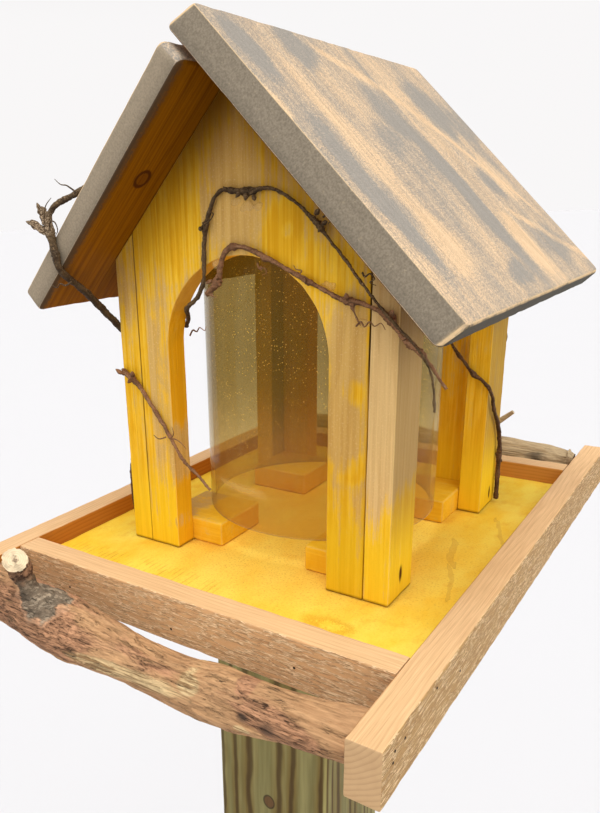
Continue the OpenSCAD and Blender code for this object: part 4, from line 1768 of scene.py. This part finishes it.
@dataclass
class Stage:
    """Camera, floor and light.

    A lamp is its name, its power in watts a square metre, the angle of its disc, its tilt from straight down
    towards the back and its turn about the vertical, in degrees.
    """

    eye: Vector
    yaw: float
    pitch: float
    roll: float
    focal_px: float
    aim_px: tuple[float, float]
    frame_px: tuple[float, float] = (600.0, 813.0)
    sensor: float = 36.0
    floor_size: float = 60.0
    pale: Colour = (0.945, 0.930, 0.930, 1.0)
    dome: Colour = (0.48, 0.48, 0.50, 1.0)
    paint: Pair = ((0.620, 0.612, 0.614, 1.0), (0.626, 0.618, 0.620, 1.0))
    lamps: tuple[tuple[str, float, float, float, float], ...] = (
        ("key_lamp", 2.2, 34.0, 8.0, 4.0), ("side_lamp", 1.15, 70.0, 56.0, 78.0),
        ("front_lamp", 0.55, 60.0, 56.0, 6.0),
    )
    fill_height: float = 222.0
    fill_size: float = 0.07
    fill_power: float = 0.2

    def build(self) -> None:
        """Sets the camera, the floor and the light."""
        bpy.context.scene.view_settings.view_transform = "Standard"
        self.place_camera()
        self.lay_floor()
        self.hang_sky()
        for lamp in self.lamps:
            self.hang_lamp(*lamp)
        self.hang_fill()

    def place_camera(self) -> None:
        """Sets the camera where the photograph was taken from."""
        width, height = self.frame_px
        data = bpy.data.cameras.new("photo_camera")
        data.sensor_width = self.sensor
        data.lens = self.focal_px / height * self.sensor
        data.shift_x = (width / 2 - self.aim_px[0]) / height
        data.shift_y = (self.aim_px[1] - height / 2) / height
        data.clip_start = 0.01
        camera = put("photo_camera", data)
        turn = Matrix.Rotation(math.radians(self.yaw), 4, "Z")
        tilt = Matrix.Rotation(math.radians(90.0 + self.pitch), 4, "X")
        lean = Matrix.Rotation(math.radians(self.roll), 4, "Z")
        camera.matrix_world = Matrix.Translation(self.eye) @ turn @ tilt @ lean
        bpy.context.scene.camera = camera

    def lay_floor(self) -> None:
        """Lays the plain pale floor."""
        bm = bmesh.new()
        bmesh.ops.create_grid(bm, x_segments=1, y_segments=1, size=self.floor_size)
        mesh = bpy.data.meshes.new("studio_floor")
        bm.to_mesh(mesh)
        bm.free()
        finish = PlainFinish(*self.paint, grain_mm=400.0, rough=0.9)
        mesh.materials.append(finish.material("studio_floor_paint"))
        put("studio_floor", mesh)

    def hang_sky(self) -> None:
        """Surrounds the scene with a dome that is pale at the horizon."""
        graph = Graph(bpy.data.worlds.new("studio_sky"))
        up = graph.dot(graph.node("TexCoord", out="Generated"), UP)
        colour = graph.mix(up.step(0.2, 0.5), self.pale, self.dome)
        sky = graph.node("Background", None, {"Color": colour, "Strength": 1.0})
        bpy.context.scene.world = graph.done(sky, "OutputWorld")

    def hang_lamp(self, name: str, power: float, spread: float, slant: float, heading: float) -> None:
        """Hangs one soft lamp.

        Args:
            name: Name of the lamp.
            power: Its strength in watts a square metre.
            spread: Its angle in degrees.
            slant: Tilt from straight down, towards the back, in degrees.
            heading: Turn about the vertical in degrees.
        """
        data = bpy.data.lights.new(name, "SUN")
        data.energy = power
        data.angle = math.radians(spread)
        lamp = put(name, data)
        turn = Matrix.Rotation(math.radians(heading), 4, "Z")
        lamp.matrix_world = turn @ Matrix.Rotation(math.radians(slant), 4, "X")

    def hang_fill(self) -> None:
        """Hangs a weak fill lamp under the ridge for the inside of the tube."""
        data = bpy.data.lights.new("fill_lamp", "AREA")
        data.shape = "DISK"
        data.size = self.fill_size
        data.energy = self.fill_power
        lamp = put("fill_lamp", data)
        lamp.matrix_world = Matrix.Translation(on_tray(0.0, 0.0, self.fill_height))
        lamp.visible_camera = False
        lamp.visible_glossy = False


class Trim:
    """The dried vines on the walls, posts and roof."""

    brown = VineSkin(tint(118, 94, 62), tint(54, 40, 26), seed=1.0)
    red = VineSkin(tint(176, 128, 90), tint(96, 64, 42), seed=4.0)
    dark = VineSkin(tint(118, 84, 56), tint(54, 35, 23), seed=7.0)
    frayed = VineSkin(tint(112, 90, 61), tint(42, 30, 19), 2.0, ((on_tray(-101.0, -138.0, 202.5), 12.0),))
    glue_depth = 0.0009
    glue = (
        ((-2.0, -92.0, 209.5), 3.2, 2.4), ((5.5, -92.0, 207.0), 4.2, 2.8), ((12.0, -92.0, 206.5), 3.0, 2.2),
        ((52.0, -92.0, 168.0), 4.4, 2.6), ((72.0, -92.0, 150.5), 3.6, 2.2),
        ((-15.0, -92.0, 178.0), 2.6, 2.2),
    )

    def vines(self) -> Iterable[Vine]:
        """Lists the stems with their knots, buds and tendrils.

        Returns:
            The stems in the order that they are built.
        """
        yield Vine(
            "upper_vine", self.brown, slim=0.0008,
            knots=(
                ((-1.8, -95.0, 215.0), 3.0), ((6.2, -95.0, 213.7), 3.6), ((11.5, -95.0, 212.0), 3.2),
                ((-20.5, -95.0, 198.0), 3.0), ((48.0, -95.0, 200.0), 3.6), ((51.0, -95.0, 197.0), 3.2),
            ),
            buds=(
                ((3.0, -96.5, 212.8), (-0.3, -0.6, -0.7), 4.6),
                ((8.0, -97.0, 211.6), (0.2, -0.6, -0.7), 5.4),
                ((12.5, -96.5, 210.8), (0.5, -0.5, -0.6), 4.6),
                ((-5.0, -96.5, 215.6), (-0.3, -0.5, 0.8), 3.6),
                ((49.0, -98.0, 203.0), (0.7, -0.5, 0.6), 5.0),
                ((53.0, -98.0, 198.0), (0.8, -0.4, 0.3), 4.4),
                ((50.5, -97.5, 195.5), (-0.3, -0.5, -0.8), 4.8),
                ((-21.5, -97.0, 196.5), (0.5, -0.6, -0.5), 4.0),
            ),
            tendrils=(
                ((-19.0, -97.0, 199.0), (-15.5, -99.0, 199.5), (-12.0, -100.0, 201.5),
                 (-11.0, -99.0, 204.0), (-13.5, -98.5, 204.5)),
                ((52.0, -97.5, 200.5), (55.5, -100.0, 202.0), (58.0, -100.5, 199.5), (55.5, -99.5, 197.5)),
                ((72.5, -97.0, 175.0), (75.0, -99.5, 173.5), (78.0, -100.5, 175.0), (80.0, -100.0, 172.5),
                 (77.5, -99.5, 171.0), (80.5, -99.0, 169.5)),
            ),
        )
        yield Vine(
            "lower_vine", self.red, slim=0.0006,
            knots=(
                ((-13.0, -95.0, 168.5), 3.4), ((-13.5, -95.0, 176.2), 2.6), ((-2.8, -95.0, 186.5), 2.4),
                ((16.0, -95.0, 179.0), 2.4), ((42.0, -95.0, 169.0), 2.2), ((64.4, -95.0, 161.0), 3.4),
                ((86.7, -95.0, 154.5), 4.2), ((96.0, -95.0, 142.0), 3.4), ((104.0, -95.0, 140.0), 3.2),
            ),
            buds=(
                ((-17.0, -97.0, 169.0), (-0.7, -0.5, -0.4), 4.4),
                ((-11.0, -97.5, 171.0), (0.6, -0.6, 0.4), 3.6),
                ((65.0, -98.0, 164.0), (0.1, -0.6, 0.8), 4.6),
                ((88.0, -98.0, 157.0), (0.5, -0.5, 0.7), 5.2),
                ((16.5, -97.5, 176.5), (0.4, -0.6, -0.7), 3.4),
                ((94.5, -97.0, 145.5), (0.7, -0.5, 0.6), 3.4),
            ),
            tendrils=(
                ((42.0, -96.5, 170.0), (43.5, -99.0, 172.5), (41.0, -100.5, 174.0), (42.0, -100.5, 176.0),
                 (38.5, -100.0, 176.5), (37.0, -99.5, 178.5)),
                ((14.0, -96.5, 179.0), (16.5, -99.0, 176.5), (20.0, -100.0, 177.0), (21.5, -100.0, 174.5),
                 (18.5, -99.5, 173.5)),
                ((70.0, -97.0, 150.0), (73.5, -99.5, 152.5), (76.0, -100.5, 150.5), (78.5, -100.5, 153.0),
                 (81.0, -100.5, 151.0), (84.0, -100.0, 152.5), (86.0, -99.5, 149.5)),
                ((-36.5, -91.0, 138.0), (-33.0, -92.5, 141.5), (-29.5, -93.5, 141.0), (-27.0, -94.0, 143.5),
                 (-23.5, -94.0, 142.0), (-22.5, -94.0, 144.5)),
            ),
        )
        yield Vine(
            "roof_vine", self.frayed, slim=-0.0002,
            knots=(
                ((-94.0, -138.0, 197.0), 3.4), ((-100.0, -138.0, 200.0), 3.0),
                ((-107.0, -138.0, 202.8), 3.6), ((-97.5, -138.0, 203.0), 2.6),
                ((-99.5, -138.0, 208.5), 3.8), ((-91.0, -138.0, 186.0), 3.0), ((-83.0, -138.0, 172.0), 3.6),
            ),
            buds=(
                ((-109.0, -138.5, 203.4), (-0.8, -0.3, 0.3), 4.4),
                ((-100.0, -138.5, 211.5), (-0.1, -0.3, 0.9), 4.6),
            ),
            tendrils=(
                ((-70.3, -138.0, 217.5), (-73.0, -139.5, 219.8), (-75.5, -140.0, 221.2),
                 (-79.0, -140.5, 221.8), (-83.0, -140.5, 224.6)),
                ((-92.0, -139.5, 199.0), (-88.5, -141.5, 203.5), (-85.0, -141.5, 203.0),
                 (-84.0, -141.0, 199.0), (-87.0, -140.5, 196.0)),
                ((-95.0, -140.0, 201.0), (-92.5, -142.0, 207.0), (-90.0, -142.0, 212.0),
                 (-86.5, -141.0, 215.5)),
                ((-79.5, -138.5, 172.0), (-83.0, -140.0, 170.0), (-86.0, -141.0, 171.0),
                 (-89.0, -141.0, 168.8), (-93.0, -140.5, 169.8)),
            ),
        )
        yield Vine(
            "leg_twig", self.red, slim=0.0002,
            knots=(((-81.0, -95.0, 110.0), 3.0), ((-88.0, -95.0, 113.0), 3.0), ((-60.0, -95.0, 75.0), 1.8)),
            buds=(
                ((-77.0, -98.0, 113.0), (0.5, -0.5, 0.8), 5.6),
                ((-79.0, -99.0, 108.5), (0.2, -0.9, -0.2), 4.6),
                ((-88.5, -97.5, 113.5), (-0.6, -0.4, 0.6), 5.4),
            ),
            tendrils=(
                ((-52.0, -97.0, 76.0), (-47.5, -99.5, 77.5), (-45.0, -100.5, 80.5), (-46.0, -100.5, 84.5)),
                ((-50.5, -97.0, 75.5), (-45.0, -99.0, 76.5), (-40.5, -99.5, 75.0), (-37.0, -99.0, 71.5)),
                ((-54.0, -97.0, 76.0), (-58.0, -99.0, 74.8), (-62.5, -98.5, 76.5)),
            ),
        )
        yield Vine("side_twig", self.dark)
        yield Vine(
            "post_vine", self.dark, slim=0.0006,
            knots=(
                ((80.0, 56.0, 97.5), 2.8), ((92.5, 87.5, 36.0), 2.6), ((92.5, 88.8, 20.0), 2.0),
                ((92.5, 82.0, 53.0), 1.8), ((92.5, 89.4, 5.0), 2.4), ((70.0, 56.5, 109.0), 1.8),
            ),
            buds=(
                ((79.5, 55.5, 99.5), (-0.2, -0.6, 0.8), 4.6), ((93.6, 86.0, 38.5), (0.5, -0.3, 0.8), 4.6),
                ((93.6, 89.0, 31.5), (0.6, -0.4, -0.5), 4.0), ((93.4, 81.0, 54.5), (0.6, -0.5, 0.5), 3.4),
            ),
        )
        yield Vine("back_vine", self.brown)

    def build(self, nodes: dict) -> None:
        """Builds every stem and the glue.

        Args:
            nodes: The CAD nodes.
        """
        for vine in self.vines():
            vine.build(nodes)
        self.dab_glue()

    def dab_glue(self) -> None:
        """Leaves flat dabs of glue where the stems are stuck to the wall."""
        shape = Shape()
        for spot, wide, tall in self.glue:
            at = on_tray(*spot)
            size = Matrix.Diagonal((wide * MM, self.glue_depth, tall * MM, 1.0))
            dab = bmesh.ops.create_icosphere(shape.bm, subdivisions=3, radius=1.0, matrix=size)["verts"]
            for vert in dab:
                vert.co += at + vert.co * 0.5 * noise.noise((vert.co + at) / 0.003)
        shape.finish("glue_dabs", ClearGlue().material("clear_glue"), "vine_wood", smooth=80.0)


def main() -> None:
    """Builds the feeder's looks in order."""
    logging.basicConfig(level=logging.INFO, format="%(name)s %(message)s")
    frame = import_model()
    nodes = frame["nodes"]
    Stage(
        eye=on_tray(229.34, -431.06, 206.12), yaw=37.63, pitch=-18.69, roll=-2.53, focal_px=748.73,
        aim_px=(200.7, 463.42),
    ).build()
    MountingPost(
        knot=on_tray(-7.2, -60.5, -205.0),
        stripes=((-41.5, 1.5), (-31.0, 1.7), (-19.0, 3.2), (7.0, 2.8), (18.5, 2.4), (40.5, 2.4)),
    ).build(nodes)
    front = [(-81.1, -4.6), (-3.3, -7.7), (73.0, -4.0)]
    side = [(-125.0, -1.6), (-156.0, 7.5), (-190.6, 4.8), (-200.5, 5.3), (-201.9, 0.7)]
    nails = [(on_tray(x, -162.0, z), -BACK) for x, z in front]
    nails += [(on_tray(140.0, y, z), RIGHT) for y, z in side]
    Tray(
        tuple(nails), ring_mark=(72.0, -124.0),
        runs=((96.0, -8.0, 28.0, 2.8, 0.34), (107.0, -46.0, 30.0, 1.8, 0.32), (112.0, 34.0, 36.0, 1.6, 0.3)),
    ).build(nodes)
    lean = math.radians(19.0)
    stub = Stub(
        root=on_tray(-84.3, -187.0, -2.0), outward=Vector((0.0, -math.sin(lean), math.cos(lean))),
        length=0.031, swell=0.2, face=Vector((0.40, -0.50, 0.77)).normalized(),
    )
    smudges = (
        (on_tray(19.0, -202.0, -5.0), 6.0), (on_tray(81.0, -198.0, -12.0), 4.5),
        (on_tray(67.0, -199.0, -11.0), 3.0), (on_tray(-38.0, -201.0, 4.0), 3.0),
        (on_tray(-48.0, -200.0, -14.0), 5.0),
    )
    Perch(
        "front_perch", seed=3.0, collar=(on_tray(-66.0, -196.0, 15.0), 0.022), stub=stub, smudges=smudges,
        rusty=(
            (-72.0, -5.0, 54.0, 15.0, 0.3), (-18.0, 7.0, 28.0, 9.0, 0.14), (86.0, -9.0, 30.0, 9.0, 0.2),
            (64.0, 3.0, 7.0, 8.0, 0.3), (40.0, 3.0, 18.0, 13.0, -0.3), (104.0, 9.0, 34.0, 11.0, -0.25),
        ),
        straws=((-4.0, -15.0, 50.0, 6.5, 0.75), (34.0, -9.0, 8.0, 6.0, 0.9), (67.0, -18.0, 6.0, 2.5, 0.8)),
        splinters=(-6.0, -3.0, 0.5, 3.0, 14.0),
    ).build(nodes)
    Perch(
        "back_perch", seed=8.0, bare=(tint(204, 180, 140), tint(112, 88, 62)),
        rusty=((0.0, 0.0, 400.0, 100.0, -0.2),),
        smudges=(
            (on_tray(96.0, 180.0, 8.0), 6.0), (on_tray(74.0, 180.0, 4.0), 5.0),
            (on_tray(112.0, 182.0, 2.0), 4.0),
        ),
        twigs=((on_tray(46.0, 190.0, 13.0), on_tray(73.7, 190.0, 40.0), 0.0027),), taper=0.005,
    ).build(nodes)
    scar = Vector((0.2, 0.34, 0.15))
    House(
        scars={
            "front_right_post": ((on_tray(90.0, -76.5, 14.0), scar),),
            "back_right_post": ((on_tray(90.0, 80.4, 9.6), scar * 1.3),),
        },
        zones={
            "front_wall": (
                (-62.0, 95.0, 9.0, 75.0, -0.3), (-71.0, 100.0, 6.0, 90.0, 0.3),
                (-52.0, 200.0, 32.0, 38.0, 0.5), (-4.0, 212.0, 24.0, 40.0, -0.5),
                (-40.0, 232.0, 18.0, 16.0, 0.3), (27.0, 192.0, 14.0, 22.0, 0.85),
                (29.0, 195.0, 5.0, 6.0, -0.7), (52.0, 176.0, 20.0, 18.0, 0.35),
                (64.0, 140.0, 13.0, 30.0, -0.5), (60.0, 92.0, 13.0, 38.0, -0.65),
                (66.0, 116.0, 8.0, 10.0, 0.55), (62.0, 74.0, 16.0, 11.0, 0.45),
                (-52.5, 62.0, 3.4, 26.0, -1.0), (-52.5, 18.0, 3.0, 8.0, -0.8),
            ),
            "front_left_post": ((-84.0, 60.0, 20.0, 90.0, 0.3), (-80.0, 165.0, 12.0, 30.0, -0.25)),
            "front_right_post": ((84.0, 112.0, 24.0, 95.0, -0.75), (88.0, 52.0, 5.0, 26.0, 0.6)),
            "front_left_block": ((-66.0, 16.0, 16.0, 8.0, -0.6),),
        },
        cover={"front_wall": 0.51, "back_wall": 0.66, "back_right_post": 0.8},
        # Painted shade on the front wall's right leg and under its peak, and on the front right post.
        painted_shades={
            "front_wall": ((66.0, 60.0, 26.0, 130.0, 0.26), (20.0, 214.0, 60.0, 44.0, 0.2)),
            "front_right_post": ((86.0, 80.0, 16.0, 110.0, 0.08),),
        },
    ).build(nodes)
    SeedTube().build()
    Roof(
        wash=(
            (-111.0, -69.0, 16.0, 30.0, 0.55), (-108.0, 24.0, 13.0, 58.0, 0.5),
            (-51.0, -77.0, 20.0, 17.0, 0.5), (-38.0, -16.0, 22.0, 20.0, 0.3), (0.0, -40.0, 28.0, 32.0, 0.4),
            (9.0, 25.0, 17.0, 78.0, 0.6), (-20.0, 78.0, 23.0, 13.0, 0.4), (79.0, -52.0, 30.0, 30.0, 0.55),
            (115.0, -40.0, 26.0, 24.0, 0.3), (69.0, 18.0, 14.0, 20.0, 0.4), (94.0, 68.0, 37.0, 17.0, 0.3),
            (-80.0, -10.0, 16.0, 75.0, -0.35), (-78.0, 58.0, 30.0, 26.0, -0.4),
            (40.0, 64.0, 16.0, 24.0, -0.55), (94.0, 10.0, 20.0, 28.0, -0.35),
            (-127.0, -30.0, 8.0, 14.0, -0.4),
        ),
        sweeps=((-29.0, 116.0, -84.0, 0.3, 0.004), (58.0, 142.0, 41.0, 0.55, 0.0)), lane=(23.2, 55.5),
        knot=on_tray(-48.0, -110.0, 222.0),
    ).build(nodes)
    Trim().build(nodes)


if __name__ == "__main__":
    main()
